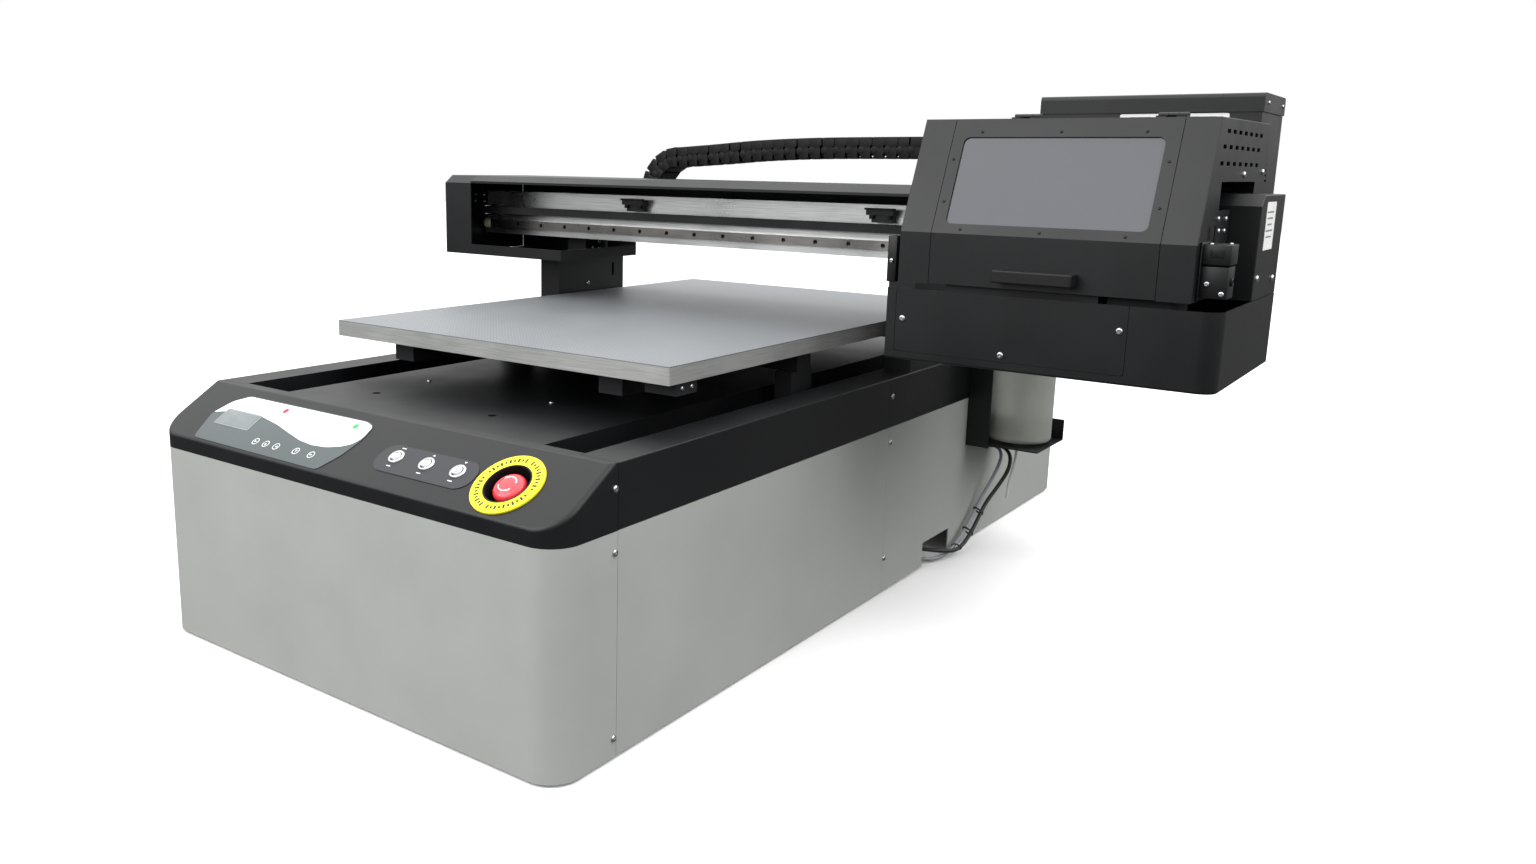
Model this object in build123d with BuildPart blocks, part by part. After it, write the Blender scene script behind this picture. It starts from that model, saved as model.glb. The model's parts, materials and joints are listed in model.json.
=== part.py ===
from build123d import *
import math
import os

os.makedirs("parts", exist_ok=True)

# A 600 x 900 mm flatbed UV printer. Lengths are in millimetres.
# Stations are counted from the base: x from its left side, y from its front, z from the floor.

# ---------------------------------------------------------------- driving dimensions
SHEET = 2.0                 # casing sheet
GAP = 0.6                   # seam between two casing sheets
SKIN = 0.3                  # air between pieces that pass each other

BASE_W = 754.0
BASE_L = 1592.0
INLET_FLANGE = 3.0          # the power inlet stands this proud of the rear panel
GREY_BOTTOM = 4.0
GREY_TOP = 276.5
FRAME_TOP = 355.0
CORNER_R = 40.0
SEAM_FRONT = 105.0          # console to side covers
SEAM_MID = 788.0            # front to rear side covers
BAND_TOP = 297.0            # top of the console's upright band
SLANT_DEPTH = 95.0
LEDGE_W = 55.0              # width of the side frames' top

DECK_X0, DECK_X1 = 130.0, 622.0
DECK_TOP = 350.0

TABLE_X0, TABLE_X1 = 57.0, 697.0
TABLE_Y0, TABLE_Y1 = 275.0, 1233.0
TABLE_TOP = 433.0
TABLE_T = 24.0
TABLE_SKIN = 1.5
MID_X = BASE_W / 2
TABLE_RAIL_INSET = 92.0     # from each side of the base
TABLE_RAIL_TOP = 277.0
TABLE_SCREW_Z = 262.0

COLUMN_Y0, COLUMN_Y1 = 798.0, 994.0
COLUMN_X0, COLUMN_X1 = 4.0, 50.0
RIGHT_COLUMN_Y0 = 862.0      # the right column is shorter front to rear
COLUMN_TOP = 500.0

BEAM_LEFT, BEAM_RIGHT = -173.0, 1250.0
BEAM_FRONT, BEAM_REAR = 715.0, 936.0
BEAM_BOTTOM, BEAM_TOP = 504.0, 652.0
BEVEL_Y, BEVEL_Z = 18.0, 14.0
CAP_INNER = -100.0          # edge of the left cap's front face
TRAY_RIGHT = 128.0
RIGHT_CAP_X0 = 1197.0
RIGHT_CAP_FRONT = 776.0      # the right cap stands back from the beam's front
PROFILE_Y0, PROFILE_Y1 = 819.0, 895.0
PROFILE_Z0, PROFILE_Z1 = 539.0, 622.0
RAIL_Z = 559.0
RAIL_SIZE = 15.0
RAIL_T = 13.0
RAIL_PITCH = 60.0
BELT_Z0, BELT_Z1 = 579.0, 592.0
BELT_T = 1.6
PULLEY_Y = 803.5
PULLEY_R = 8.0
IDLER_X, DRIVE_X = -148.0, 1222.0

CHAIN_Y0, CHAIN_Y1 = 941.0, 998.0
CHAIN_H = 35.0
CHAIN_LOW_Z = 560.5
CHAIN_BEND_X = 219.0
CHAIN_BEND_Z = 692.5        # middle of the upper run where the bend starts
CHAIN_FIXED_X = 560.0

STATION_X0, STATION_X1 = 824.0, 1250.0
STATION_Y0 = 608.0
STATION_Z0, STATION_Z1 = 419.0, 517.5
STATION_R = 22.0

HOOD_X0, HOOD_X1 = 838.0, 1215.0
HOOD_FRONT, HOOD_REAR = 608.0, 973.0
HOOD_BOTTOM, HOOD_BEND, HOOD_TOP = 526.0, 594.5, 744.5
HOOD_SLANT_Y = 672.0        # where the sloping front meets the top
HOOD_PASS_Y, HOOD_PASS_Z = 700.0, 668.0   # the beam passes behind and below these
HOOD_WING_Y, HOOD_WING_Z = 766.0, 633.0   # the right wall reaches back to here, under the beam's top
DOOR_X0, DOOR_X1 = 882.0, 1174.0
HINGE_Y, HINGE_Z = 690.0, 748.0
HINGE_XS = (974.0, 1155.0)

INK_X0, INK_X1 = 893.0, 1203.0
INK_Y0, INK_Y1 = HOOD_REAR, 1130.0
INK_Z0, INK_SEAM, INK_TOP = 640.0, 764.0, 790.0
LID_PIVOT_Y, LID_PIVOT_Z = INK_Y1 + 3.6, INK_TOP + 1.5
LID_HINGE_XS = (974.0, 1158.0)

HEAD_BOTTOM = 445.0
ESTOP_X, ESTOP_S = 646.0, 50.0
BUTTON_XS = {"reset_button": 458.6, "up_button": 511.9, "down_button": 565.1}
BUTTON_S = 51.0
BUTTON_R = 9.0
BOTTLE_X, BOTTLE_Y = 826.0, 1180.0
BOTTLE_R = 55.0
BOTTLE_Z0, BOTTLE_Z1 = 200.0, 400.0

# the object's origin is under the middle of its whole box
CENTRE_X = (BEAM_LEFT + BEAM_RIGHT) / 2
CENTRE_Y = (BASE_L + INLET_FLANGE) / 2


# ---------------------------------------------------------------- helpers
def at(x, y, z):
    """A station of the base as a point of the object's frame."""
    return Vector(x - CENTRE_X, y - CENTRE_Y, z)


def block(x0, x1, y0, y1, z0, z1, mode=Mode.ADD):
    """A box between two corners."""
    with Locations(at((x0 + x1) / 2, (y0 + y1) / 2, (z0 + z1) / 2)):
        Box(x1 - x0, y1 - y0, z1 - z0, mode=mode)


def prism_x(points, x0, x1, mode=Mode.ADD):
    """An outline of (y, z) points, extruded along x."""
    side = Plane(origin=at(x0, 0, 0), x_dir=(0, 1, 0), z_dir=(1, 0, 0))
    with BuildSketch(side, mode=Mode.PRIVATE) as outline:
        with BuildLine():
            Polyline(*points, close=True)
        make_face()
    extrude(outline.sketch, amount=x1 - x0, mode=mode)


def prism_y(points, y0, y1, mode=Mode.ADD):
    """An outline of (x, z) points, extruded along y."""
    front = Plane(origin=at(0, y0, 0), x_dir=(1, 0, 0), z_dir=(0, -1, 0))
    with BuildSketch(front, mode=Mode.PRIVATE) as outline:
        with BuildLine():
            Polyline(*points, close=True)
        make_face()
    extrude(outline.sketch, amount=y0 - y1, mode=mode)


def rounded_z(x0, x1, y0, y1, z0, z1, radius, mode=Mode.ADD):
    """An upright box with four rounded corners."""
    with BuildSketch(Plane(origin=at((x0 + x1) / 2, (y0 + y1) / 2, z0)), mode=Mode.PRIVATE) as plan:
        RectangleRounded(x1 - x0, y1 - y0, radius)
    extrude(plan.sketch, amount=z1 - z0, mode=mode)


def rod(x, y, z, axis, radius, length, mode=Mode.ADD):
    """A cylinder from a point along an axis."""
    with Locations(Plane(origin=at(x, y, z), z_dir=axis)):
        Cylinder(radius, length, align=(Align.CENTER, Align.CENTER, Align.MIN), mode=mode)


def mirror_x(x):
    """The same station on the other side of the base."""
    return BASE_W - x


# sloping faces: the console's panel and the hood's front, local x across and y up the slope
SLOPE_RUN = Vector(0, SLANT_DEPTH, FRAME_TOP - BAND_TOP)
SLOPE_NORMAL = Vector(0, BAND_TOP - FRAME_TOP, SLANT_DEPTH).normalized()
HOOD_RUN = Vector(0, HOOD_SLANT_Y - HOOD_FRONT, HOOD_TOP - HOOD_BEND)
HOOD_NORMAL = Vector(0, HOOD_BEND - HOOD_TOP, HOOD_SLANT_Y - HOOD_FRONT).normalized()


def console_plane(x, s, lift=0.0):
    """A plane on the console's slope, at x across and s up it, lifted off it."""
    spot = at(x, 0, BAND_TOP) + SLOPE_RUN.normalized() * s + SLOPE_NORMAL * lift
    return Plane(origin=spot, x_dir=(1, 0, 0), z_dir=SLOPE_NORMAL)


def hood_plane(x, s, lift=0.0):
    """A plane on the hood's sloping front, at x across and s up it, lifted off it."""
    spot = at(x, HOOD_FRONT, HOOD_BEND) + HOOD_RUN.normalized() * s + HOOD_NORMAL * lift
    return Plane(origin=spot, x_dir=(1, 0, 0), z_dir=HOOD_NORMAL)


# ---------------------------------------------------------------- base casing
with BuildPart() as base_front_shell:
    with BuildSketch(Plane.XY.offset(GREY_BOTTOM)):
        with BuildLine():
            Polyline(at(0, SEAM_FRONT, 0), at(0, 0, 0), at(BASE_W, 0, 0), at(BASE_W, SEAM_FRONT, 0), close=True)
        make_face()
        fillet(vertices().group_by(Axis.Y)[0], CORNER_R)
    extrude(amount=GREY_TOP - GREY_BOTTOM)
    inner = BASE_W - 2 * SHEET
    with BuildSketch(Plane.XY.offset(GREY_BOTTOM)):
        with BuildLine():
            Polyline(at(SHEET, SEAM_FRONT, 0), at(SHEET, SHEET, 0), at(SHEET + inner, SHEET, 0),
                     at(SHEET + inner, SEAM_FRONT, 0), close=True)
        make_face()
        fillet(vertices().group_by(Axis.Y)[0], CORNER_R - SHEET)
    extrude(amount=GREY_TOP - GREY_BOTTOM, mode=Mode.SUBTRACT)
base_front_shell.part.label = "base_front_shell"
export_step(base_front_shell.part, "parts/base_front_shell.step")

REAR_Y = BASE_L - SHEET
NOTCH_Y, NOTCH_Z = 1000.0, 46.0        # cable notch in the right rear panel
NOTCH_W = 110.0
for side, x0 in (("left", 0.0), ("right", BASE_W - SHEET)):
    with BuildPart() as side_panels:
        block(x0, x0 + SHEET, SEAM_FRONT + GAP, SEAM_MID - GAP, GREY_BOTTOM, GREY_TOP)
        block(x0, x0 + SHEET, SEAM_MID, REAR_Y, GREY_BOTTOM, GREY_TOP)
        if side == "right":
            block(x0, x0 + SHEET, NOTCH_Y - NOTCH_W / 2, NOTCH_Y + NOTCH_W / 2, GREY_BOTTOM, NOTCH_Z,
                  mode=Mode.SUBTRACT)
    side_panels.part.label = f"side_panels_{side}"
    export_step(side_panels.part, f"parts/side_panels_{side}.step")

with BuildPart() as rear_panel:
    block(0, BASE_W, REAR_Y, BASE_L, GREY_BOTTOM, FRAME_TOP)
    for slot in range(8):
        block(180, 330, REAR_Y, BASE_L, 90 + 16 * slot, 96 + 16 * slot, mode=Mode.SUBTRACT)
        block(424, 574, REAR_Y, BASE_L, 90 + 16 * slot, 96 + 16 * slot, mode=Mode.SUBTRACT)
    block(640, 690, REAR_Y, BASE_L, 60, 92, mode=Mode.SUBTRACT)
rear_panel.part.label = "rear_panel"
export_step(rear_panel.part, "parts/rear_panel.step")

with BuildPart() as power_inlet:
    block(634, 696, BASE_L, BASE_L + INLET_FLANGE, 54, 98)
    block(640.3, 689.7, BASE_L - 24, BASE_L, 60.3, 91.7)
    block(648, 682, BASE_L - 16, BASE_L + INLET_FLANGE, 68, 86, mode=Mode.SUBTRACT)
    for pin in (-8, 0, 8):
        block(663.5 + pin, 666.5 + pin, BASE_L - 16, BASE_L - 2, 73, 79)
power_inlet.part.label = "power_inlet"
export_step(power_inlet.part, "parts/power_inlet.step")

TUBE = 40.0
WELD = 0.05                 # weld line between two tubes
RAIL_TUBE_TOP = TABLE_RAIL_TOP - RAIL_SIZE
with BuildPart() as floor_pan:
    block(SHEET, BASE_W - SHEET, 44, REAR_Y, 50, 51.5)
    rod(BASE_W - 40, NOTCH_Y, 50, (0, 0, 1), 22, 1.5, mode=Mode.SUBTRACT)
floor_pan.part.label = "floor_pan"
export_step(floor_pan.part, "parts/floor_pan.step")

CROSS_YS = (150.0, 800.0, 1500.0)
with BuildPart() as chassis_tubes:
    for x in (TABLE_RAIL_INSET, mirror_x(TABLE_RAIL_INSET)):
        block(x - TUBE / 2, x + TUBE / 2, 125, 1575, 10, 50)
        block(x - TUBE / 2, x + TUBE / 2, 125, 1575, RAIL_TUBE_TOP - TUBE, RAIL_TUBE_TOP)
        for y in CROSS_YS:
            block(x - TUBE / 2, x + TUBE / 2, y - TUBE / 2, y + TUBE / 2, 51.5, RAIL_TUBE_TOP - TUBE - WELD)
    for y in CROSS_YS:
        inset = TABLE_RAIL_INSET + TUBE / 2 + WELD
        block(inset, mirror_x(inset), y - TUBE / 2, y + TUBE / 2, 10, 50)
        block(inset, mirror_x(inset), y - TUBE / 2, y + TUBE / 2, RAIL_TUBE_TOP - TUBE - 20, RAIL_TUBE_TOP - 20)
    for x in (26.0, mirror_x(26.0)):
        for y in (840.0, 950.0):
            block(x - 20, x + 20, y - 20, y + 20, 51.5, FRAME_TOP - SHEET)
chassis_tubes.part.label = "chassis_tubes"
export_step(chassis_tubes.part, "parts/chassis_tubes.step")

with BuildPart() as levelling_feet:
    for x in (TABLE_RAIL_INSET, mirror_x(TABLE_RAIL_INSET)):
        for y in CROSS_YS:
            rod(x, y, 0, (0, 0, 1), 25, 7)
            rod(x, y, 7, (0, 0, 1), 8, 3)
levelling_feet.part.label = "levelling_feet"
export_step(levelling_feet.part, "parts/levelling_feet.step")


def console_outline(inset):
    """The console's side outline as (y, z) points, drawn in from the outside by inset."""
    rise = (FRAME_TOP - BAND_TOP) / SLANT_DEPTH
    shift = inset * ((1 + rise ** 2) ** 0.5 - rise)
    low = BAND_TOP - shift
    bend = SLANT_DEPTH + inset * ((1 + rise ** 2) ** 0.5 - 1) / rise
    y_rear = SEAM_FRONT + 8 if inset == 0 else SEAM_FRONT + 20
    return [(inset, GREY_TOP), (inset, low), (bend, FRAME_TOP - inset), (y_rear, FRAME_TOP - inset),
            (y_rear, GREY_TOP)]


def console_solid(inset, mode=Mode.ADD):
    """The console as a solid: its side outline cut to a plan with rounded front corners."""
    side = Plane(origin=at(0, 0, 0), x_dir=(0, 1, 0), z_dir=(1, 0, 0))
    with BuildPart(mode=Mode.PRIVATE) as solid:
        with BuildSketch(side) as outline:
            with BuildLine():
                Polyline(*console_outline(inset), close=True)
            make_face()
        extrude(outline.sketch, amount=BASE_W)
        with BuildSketch(Plane.XY.offset(GREY_TOP)) as plan:
            with BuildLine():
                Polyline(at(inset, 150, 0), at(inset, inset, 0), at(BASE_W - inset, inset, 0),
                         at(BASE_W - inset, 150, 0), close=True)
            make_face()
            fillet(plan.vertices().group_by(Axis.Y)[0], CORNER_R - inset)
        extrude(plan.sketch, amount=100, mode=Mode.INTERSECT)
    add(solid.part, mode=mode)


with BuildPart() as console_shell:
    console_solid(0)
    slope_edges = edges().filter_by(Axis.X).sort_by(Axis.Z)
    fillet([e for e in slope_edges if abs(e.center().Z - BAND_TOP) < 0.1 or
            (abs(e.center().Z - FRAME_TOP) < 0.1 and e.center().Y < at(0, 100, 0).Y)], 6)
    console_solid(SHEET, mode=Mode.SUBTRACT)
    block(0, SHEET + GAP, SEAM_FRONT, SEAM_FRONT + 9, GREY_TOP, FRAME_TOP, mode=Mode.SUBTRACT)
    block(BASE_W - SHEET - GAP, BASE_W, SEAM_FRONT, SEAM_FRONT + 9, GREY_TOP, FRAME_TOP, mode=Mode.SUBTRACT)
    block(0, LEDGE_W + GAP, SEAM_FRONT, SEAM_FRONT + 9, GREY_TOP, FRAME_TOP, mode=Mode.SUBTRACT)
    block(BASE_W - LEDGE_W - GAP, BASE_W, SEAM_FRONT, SEAM_FRONT + 9, GREY_TOP, FRAME_TOP, mode=Mode.SUBTRACT)
    with Locations(console_plane(ESTOP_X, ESTOP_S, -10)):
        Cylinder(31.3, 20, mode=Mode.SUBTRACT)
    for x in BUTTON_XS.values():
        with Locations(console_plane(x, BUTTON_S, -10)):
            Cylinder(BUTTON_R + 1.6, 20, mode=Mode.SUBTRACT)
    with BuildSketch(console_plane(132, 50, -6), mode=Mode.PRIVATE) as display_hole:
        RectangleRounded(66, 26, 2)
    extrude(display_hole.sketch, amount=12, mode=Mode.SUBTRACT)
console_shell.part.label = "console_shell"
export_step(console_shell.part, "parts/console_shell.step")

OVERLAY_T = 0.8
with BuildPart() as control_overlay:
    with BuildSketch(console_plane(0, 0)) as overlay_face:
        with BuildLine():
            Polyline((84, 7), (76, 30), (69, 52), (84, 80), (108, 96), (362, 96), (378, 90), (380, 66), (372, 34),
                     (354, 3), (92, 4), close=True)
        make_face()
        fillet(overlay_face.vertices(), 5)
    extrude(amount=OVERLAY_T)
    with BuildSketch(console_plane(132, 50, -3), mode=Mode.PRIVATE) as display:
        RectangleRounded(65.4, 25.4, 1.7)
    extrude(display.sketch, amount=3)
control_overlay.part.label = "control_overlay"
export_step(control_overlay.part, "parts/control_overlay.step")

with BuildPart() as button_inlay:
    with BuildSketch(console_plane(512, 48)):
        RectangleRounded(166, 45, 21)
        for x in BUTTON_XS.values():
            with Locations((x - 512, BUTTON_S - 48)):
                Circle(BUTTON_R - 1.5, mode=Mode.SUBTRACT)
    extrude(amount=OVERLAY_T)
    for x in BUTTON_XS.values():
        with Locations(console_plane(x, BUTTON_S, -3.8)):
            Cylinder(BUTTON_R + 1.2, 10.8)
            Cylinder(BUTTON_R - 1.5, 10.8, mode=Mode.SUBTRACT)
        with Locations(console_plane(x, BUTTON_S, -14)):
            Cylinder(BUTTON_R - 0.5, 12)
            Cylinder(3.4, 12, mode=Mode.SUBTRACT)
button_inlay.part.label = "button_inlay"
export_step(button_inlay.part, "parts/button_inlay.step")

for name, x in BUTTON_XS.items():
    with BuildPart() as push_button:
        with Locations(console_plane(x, BUTTON_S, 1.4)):
            Cylinder(BUTTON_R - 1.9, 6)
        fillet(faces().sort_by(Axis.Z)[-1].edges(), 1)
        with Locations(console_plane(x, BUTTON_S, -8.3)):
            Cylinder(3.0, 14)
    push_button.part.label = name
    export_step(push_button.part, f"parts/{name}.step")

ESTOP_WELL = 22.0
with BuildPart() as estop_ring:
    with Locations(console_plane(ESTOP_X, ESTOP_S, 1.25)):
        Cylinder(46, 2.5)
    fillet(faces().sort_by(Axis.Z)[-1].edges(), 1)
    with Locations(console_plane(ESTOP_X, ESTOP_S, 0)):
        Cylinder(29, 12, mode=Mode.SUBTRACT)
    with Locations(console_plane(ESTOP_X, ESTOP_S, (2 - ESTOP_WELL) / 2)):
        Cylinder(31, 2 + ESTOP_WELL)
        Cylinder(29, 2 + ESTOP_WELL, mode=Mode.SUBTRACT)
    with Locations(console_plane(ESTOP_X, ESTOP_S, -ESTOP_WELL - 1)):
        Cylinder(31, 2)
    with Locations(console_plane(ESTOP_X, ESTOP_S, -ESTOP_WELL + 2.5)):
        Cylinder(15, 7)
    with Locations(console_plane(ESTOP_X, ESTOP_S, -ESTOP_WELL)):
        Cylinder(8.3, 30, mode=Mode.SUBTRACT)
estop_ring.part.label = "estop_ring"
export_step(estop_ring.part, "parts/estop_ring.step")

ESTOP_STEM_R, ESTOP_PIN_R = 8.0, 4.0
ESTOP_HEAD_LIFT = -10.7      # underside of the mushroom, below the console's slope
with BuildPart() as estop_stem:
    with Locations(console_plane(ESTOP_X, ESTOP_S, -18.5)):
        Cylinder(ESTOP_STEM_R, 15)
    with Locations(console_plane(ESTOP_X, ESTOP_S, -7)):
        Cylinder(ESTOP_PIN_R, 8)
estop_stem.part.label = "estop_stem"
export_step(estop_stem.part, "parts/estop_stem.step")

with BuildPart() as estop_head:
    with BuildSketch(Plane.XZ) as mushroom:
        with BuildLine():
            Polyline((ESTOP_PIN_R + 0.06, 0), (14, 0), (20, 2.5), (20.5, 6))
            Spline((20.5, 6), (16, 12), (0, 14), tangents=((0, 1), (-1, 0)))
            Polyline((0, 14), (0, 8.5), (ESTOP_PIN_R + 0.06, 8.5), (ESTOP_PIN_R + 0.06, 0))
        make_face()
    revolve(axis=Axis.Z)
estop_head.part.locate(Location(console_plane(ESTOP_X, ESTOP_S, ESTOP_HEAD_LIFT)))
estop_head.part.label = "estop_head"
export_step(estop_head.part, "parts/estop_head.step")

for side, sign in (("left", 1), ("right", -1)):
    with BuildPart() as side_frames:
        for y0, y1 in ((SEAM_FRONT + GAP, SEAM_MID - GAP), (SEAM_MID, REAR_Y)):
            xs = sorted((BASE_W * (sign < 0), BASE_W * (sign < 0) + sign * LEDGE_W))
            block(xs[0], xs[1], y0, y1, GREY_TOP + 0.8, FRAME_TOP)
            xi = sorted((BASE_W * (sign < 0) + sign * SHEET, BASE_W * (sign < 0) + sign * (LEDGE_W - SHEET)))
            block(xi[0], xi[1], y0 - 1, y1 + 1, GREY_TOP, FRAME_TOP - SHEET, mode=Mode.SUBTRACT)
            xf = sorted((BASE_W * (sign < 0) + sign * (LEDGE_W - SHEET), BASE_W * (sign < 0) + sign * LEDGE_W))
            block(xf[0], xf[1], y0 - 1, y1 + 1, GREY_TOP, FRAME_TOP - 30, mode=Mode.SUBTRACT)
        outer = edges().filter_by(Axis.Y).group_by(Axis.Z)[-1].sort_by(Axis.X, reverse=sign < 0)[0:2]
        fillet(outer, 1.5)
        screw_x = 26.0 if sign > 0 else mirror_x(26.0)
        rod(screw_x, 896, FRAME_TOP - 5, (0, 0, 1), 10, 10, mode=Mode.SUBTRACT)
    side_frames.part.label = f"side_frames_{side}"
    export_step(side_frames.part, f"parts/side_frames_{side}.step")

with BuildPart() as deck_cover:
    deck_front, deck_rear = SEAM_FRONT + 9, REAR_Y
    block(DECK_X0, DECK_X1, deck_front, deck_rear, DECK_TOP - 1.5, DECK_TOP)
    block(DECK_X0, DECK_X0 + 1.5, deck_front, deck_rear, DECK_TOP - 26, DECK_TOP)
    block(DECK_X1 - 1.5, DECK_X1, deck_front, deck_rear, DECK_TOP - 26, DECK_TOP)
    for x in (230, 461):
        rod(x, 204, DECK_TOP - 3, (0, 0, 1), 6, 6, mode=Mode.SUBTRACT)
deck_cover.part.label = "deck_cover"
export_step(deck_cover.part, "parts/deck_cover.step")

# ---------------------------------------------------------------- table drive
with BuildPart() as table_rails:
    for x in (TABLE_RAIL_INSET, mirror_x(TABLE_RAIL_INSET)):
        block(x - 7.5, x + 7.5, 128, 1572, RAIL_TUBE_TOP, TABLE_RAIL_TOP)
        for hole in range(24):
            rod(x, 150 + 60 * hole, TABLE_RAIL_TOP - 5, (0, 0, 1), 3, 6, mode=Mode.SUBTRACT)
table_rails.part.label = "table_rails"
export_step(table_rails.part, "parts/table_rails.step")

CARRIER_YS = (640.0, 1070.0)
CARRIER_Z0, CARRIER_Z1 = 302.0, 314.0
RISER_TOP = 379.0
with BuildPart() as table_carrier:
    for y in CARRIER_YS:
        block(TABLE_RAIL_INSET - 17, mirror_x(TABLE_RAIL_INSET - 17), y - 40, y + 40, CARRIER_Z0, CARRIER_Z1)
        for x in (TABLE_RAIL_INSET, mirror_x(TABLE_RAIL_INSET)):
            block(x - 17, x + 17, y - 30, y + 30, RAIL_TUBE_TOP + 4, CARRIER_Z0)
            block(x - 7.9, x + 7.9, y - 31, y + 31, RAIL_TUBE_TOP, TABLE_RAIL_TOP + 0.4, mode=Mode.SUBTRACT)
            block(x - 14, x + 14, y - 30, y + 30, CARRIER_Z1, RISER_TOP)
    block(MID_X - 60, MID_X + 60, CARRIER_YS[0] + 40, CARRIER_YS[1] - 40, CARRIER_Z0, CARRIER_Z1)
    block(MID_X - 24, MID_X + 24, 835, 885, TABLE_SCREW_Z - 20, CARRIER_Z0)
    rod(MID_X, 830, TABLE_SCREW_Z, (0, 1, 0), 10.06, 60, mode=Mode.SUBTRACT)
table_carrier.part.label = "table_carrier"
export_step(table_carrier.part, "parts/table_carrier.step")

with BuildPart() as table_screw:
    rod(MID_X, 158, TABLE_SCREW_Z, (0, 1, 0), 10, 1393)
table_screw.part.label = "table_screw"
export_step(table_screw.part, "parts/table_screw.step")

with BuildPart() as table_motor:
    block(MID_X - 43, MID_X + 43, 1552, 1586, TABLE_SCREW_Z - 43, TABLE_SCREW_Z + 43)
    for y0, y1 in ((156, 184), (1480, 1500)):
        block(MID_X - 26, MID_X + 26, y0, y1, RAIL_TUBE_TOP - 20, TABLE_SCREW_Z + 24)
        rod(MID_X, y0 - 1, TABLE_SCREW_Z, (0, 1, 0), 10.06, y1 - y0 + 2, mode=Mode.SUBTRACT)
    block(MID_X - 26, MID_X + 26, 1480, 1552, TABLE_SCREW_Z + 24, TABLE_SCREW_Z + 32)
table_motor.part.label = "table_motor"
export_step(table_motor.part, "parts/table_motor.step")

with BuildPart() as table_subframe:
    for x in (175.0, mirror_x(175.0)):
        block(x - 20, x + 20, 305, 1205, RISER_TOP, TABLE_TOP - TABLE_T)
    for y in CARRIER_YS:
        block(75, 155, y - 20, y + 20, RISER_TOP, TABLE_TOP - TABLE_T)
        block(195, mirror_x(195), y - 20, y + 20, RISER_TOP, TABLE_TOP - TABLE_T)
        block(mirror_x(155), mirror_x(75), y - 20, y + 20, RISER_TOP, TABLE_TOP - TABLE_T)
    block(640, 690, 300, 345, RISER_TOP + 12, TABLE_TOP - TABLE_T)
table_subframe.part.label = "table_subframe"
export_step(table_subframe.part, "parts/table_subframe.step")

with BuildPart() as table_core:
    block(TABLE_X0, TABLE_X1, TABLE_Y0, TABLE_Y1, TABLE_TOP - TABLE_T, TABLE_TOP - TABLE_SKIN)
    fillet(edges().filter_by(Axis.Z), 2)
table_core.part.label = "table_core"
export_step(table_core.part, "parts/table_core.step")

with BuildPart() as table_skin:
    block(TABLE_X0, TABLE_X1, TABLE_Y0, TABLE_Y1, TABLE_TOP - TABLE_SKIN, TABLE_TOP)
    fillet(edges().filter_by(Axis.Z), 2)
table_skin.part.label = "table_skin"
export_step(table_skin.part, "parts/table_skin.step")

# ---------------------------------------------------------------- lift columns
LIFT_X, LIFT_Y = 26.0, 896.0
with BuildPart() as lift_columns:
    for x0, x1, y0 in ((COLUMN_X0, COLUMN_X1, COLUMN_Y0), (mirror_x(COLUMN_X1), mirror_x(COLUMN_X0), RIGHT_COLUMN_Y0)):
        block(x0, x1, y0, COLUMN_Y1, FRAME_TOP, COLUMN_TOP)
        block(x0 + 3, x1 - 3, y0 + 3, COLUMN_Y1 - 3, FRAME_TOP, COLUMN_TOP, mode=Mode.SUBTRACT)
    block(COLUMN_X1 - 4, COLUMN_X1, 958, 964, 458, 484, mode=Mode.SUBTRACT)
    for x in (LIFT_X, mirror_x(LIFT_X)):
        rod(x, LIFT_Y, 300, (0, 0, 1), 8, 180)
lift_columns.part.label = "lift_columns"
export_step(lift_columns.part, "parts/lift_columns.step")

FOOT_Y0, FOOT_Y1 = 872.0, 1010.0
with BuildPart() as gantry_feet:
    for x, x0, x1 in ((LIFT_X, 8.0, 54.0), (mirror_x(LIFT_X), mirror_x(54.0), mirror_x(8.0))):
        block(x0, x1, FOOT_Y0, FOOT_Y1, COLUMN_TOP + SKIN, PROFILE_Z0)
        block(x - 14, x + 14, 872, 926, 380, COLUMN_TOP + 2)
        rod(x, LIFT_Y, 378, (0, 0, 1), 8.06, 130, mode=Mode.SUBTRACT)
gantry_feet.part.label = "gantry_feet"
export_step(gantry_feet.part, "parts/gantry_feet.step")

# ---------------------------------------------------------------- beam
with BuildPart() as beam_extrusion:
    block(-165, 1190, PROFILE_Y0, PROFILE_Y1, PROFILE_Z0, PROFILE_Z1)
    for y0, y1 in ((PROFILE_Y0 + 5, 853), (861, PROFILE_Y1 - 5)):
        block(-166, 1191, y0, y1, PROFILE_Z0 + 5, PROFILE_Z1 - 5, mode=Mode.SUBTRACT)
    block(-165, 1190, PROFILE_Y0, PROFILE_Y0 + 2, BELT_Z0 - 3, BELT_Z1 + 2, mode=Mode.SUBTRACT)
beam_extrusion.part.label = "beam_extrusion"
export_step(beam_extrusion.part, "parts/beam_extrusion.step")

RAIL_X0, RAIL_X1 = -138.0, 1180.0
with BuildPart() as x_rail:
    block(RAIL_X0, RAIL_X1, PROFILE_Y0 - RAIL_T, PROFILE_Y0, RAIL_Z - RAIL_SIZE / 2, RAIL_Z + RAIL_SIZE / 2)
    for hole in range(22):
        rod(-123 + RAIL_PITCH * hole, PROFILE_Y0 - RAIL_T, RAIL_Z, (0, 1, 0), 3.75, 5, mode=Mode.SUBTRACT)
        rod(-123 + RAIL_PITCH * hole, PROFILE_Y0 - RAIL_T, RAIL_Z, (0, 1, 0), 2.25, RAIL_T, mode=Mode.SUBTRACT)
x_rail.part.label = "x_rail"
export_step(x_rail.part, "parts/x_rail.step")

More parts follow.
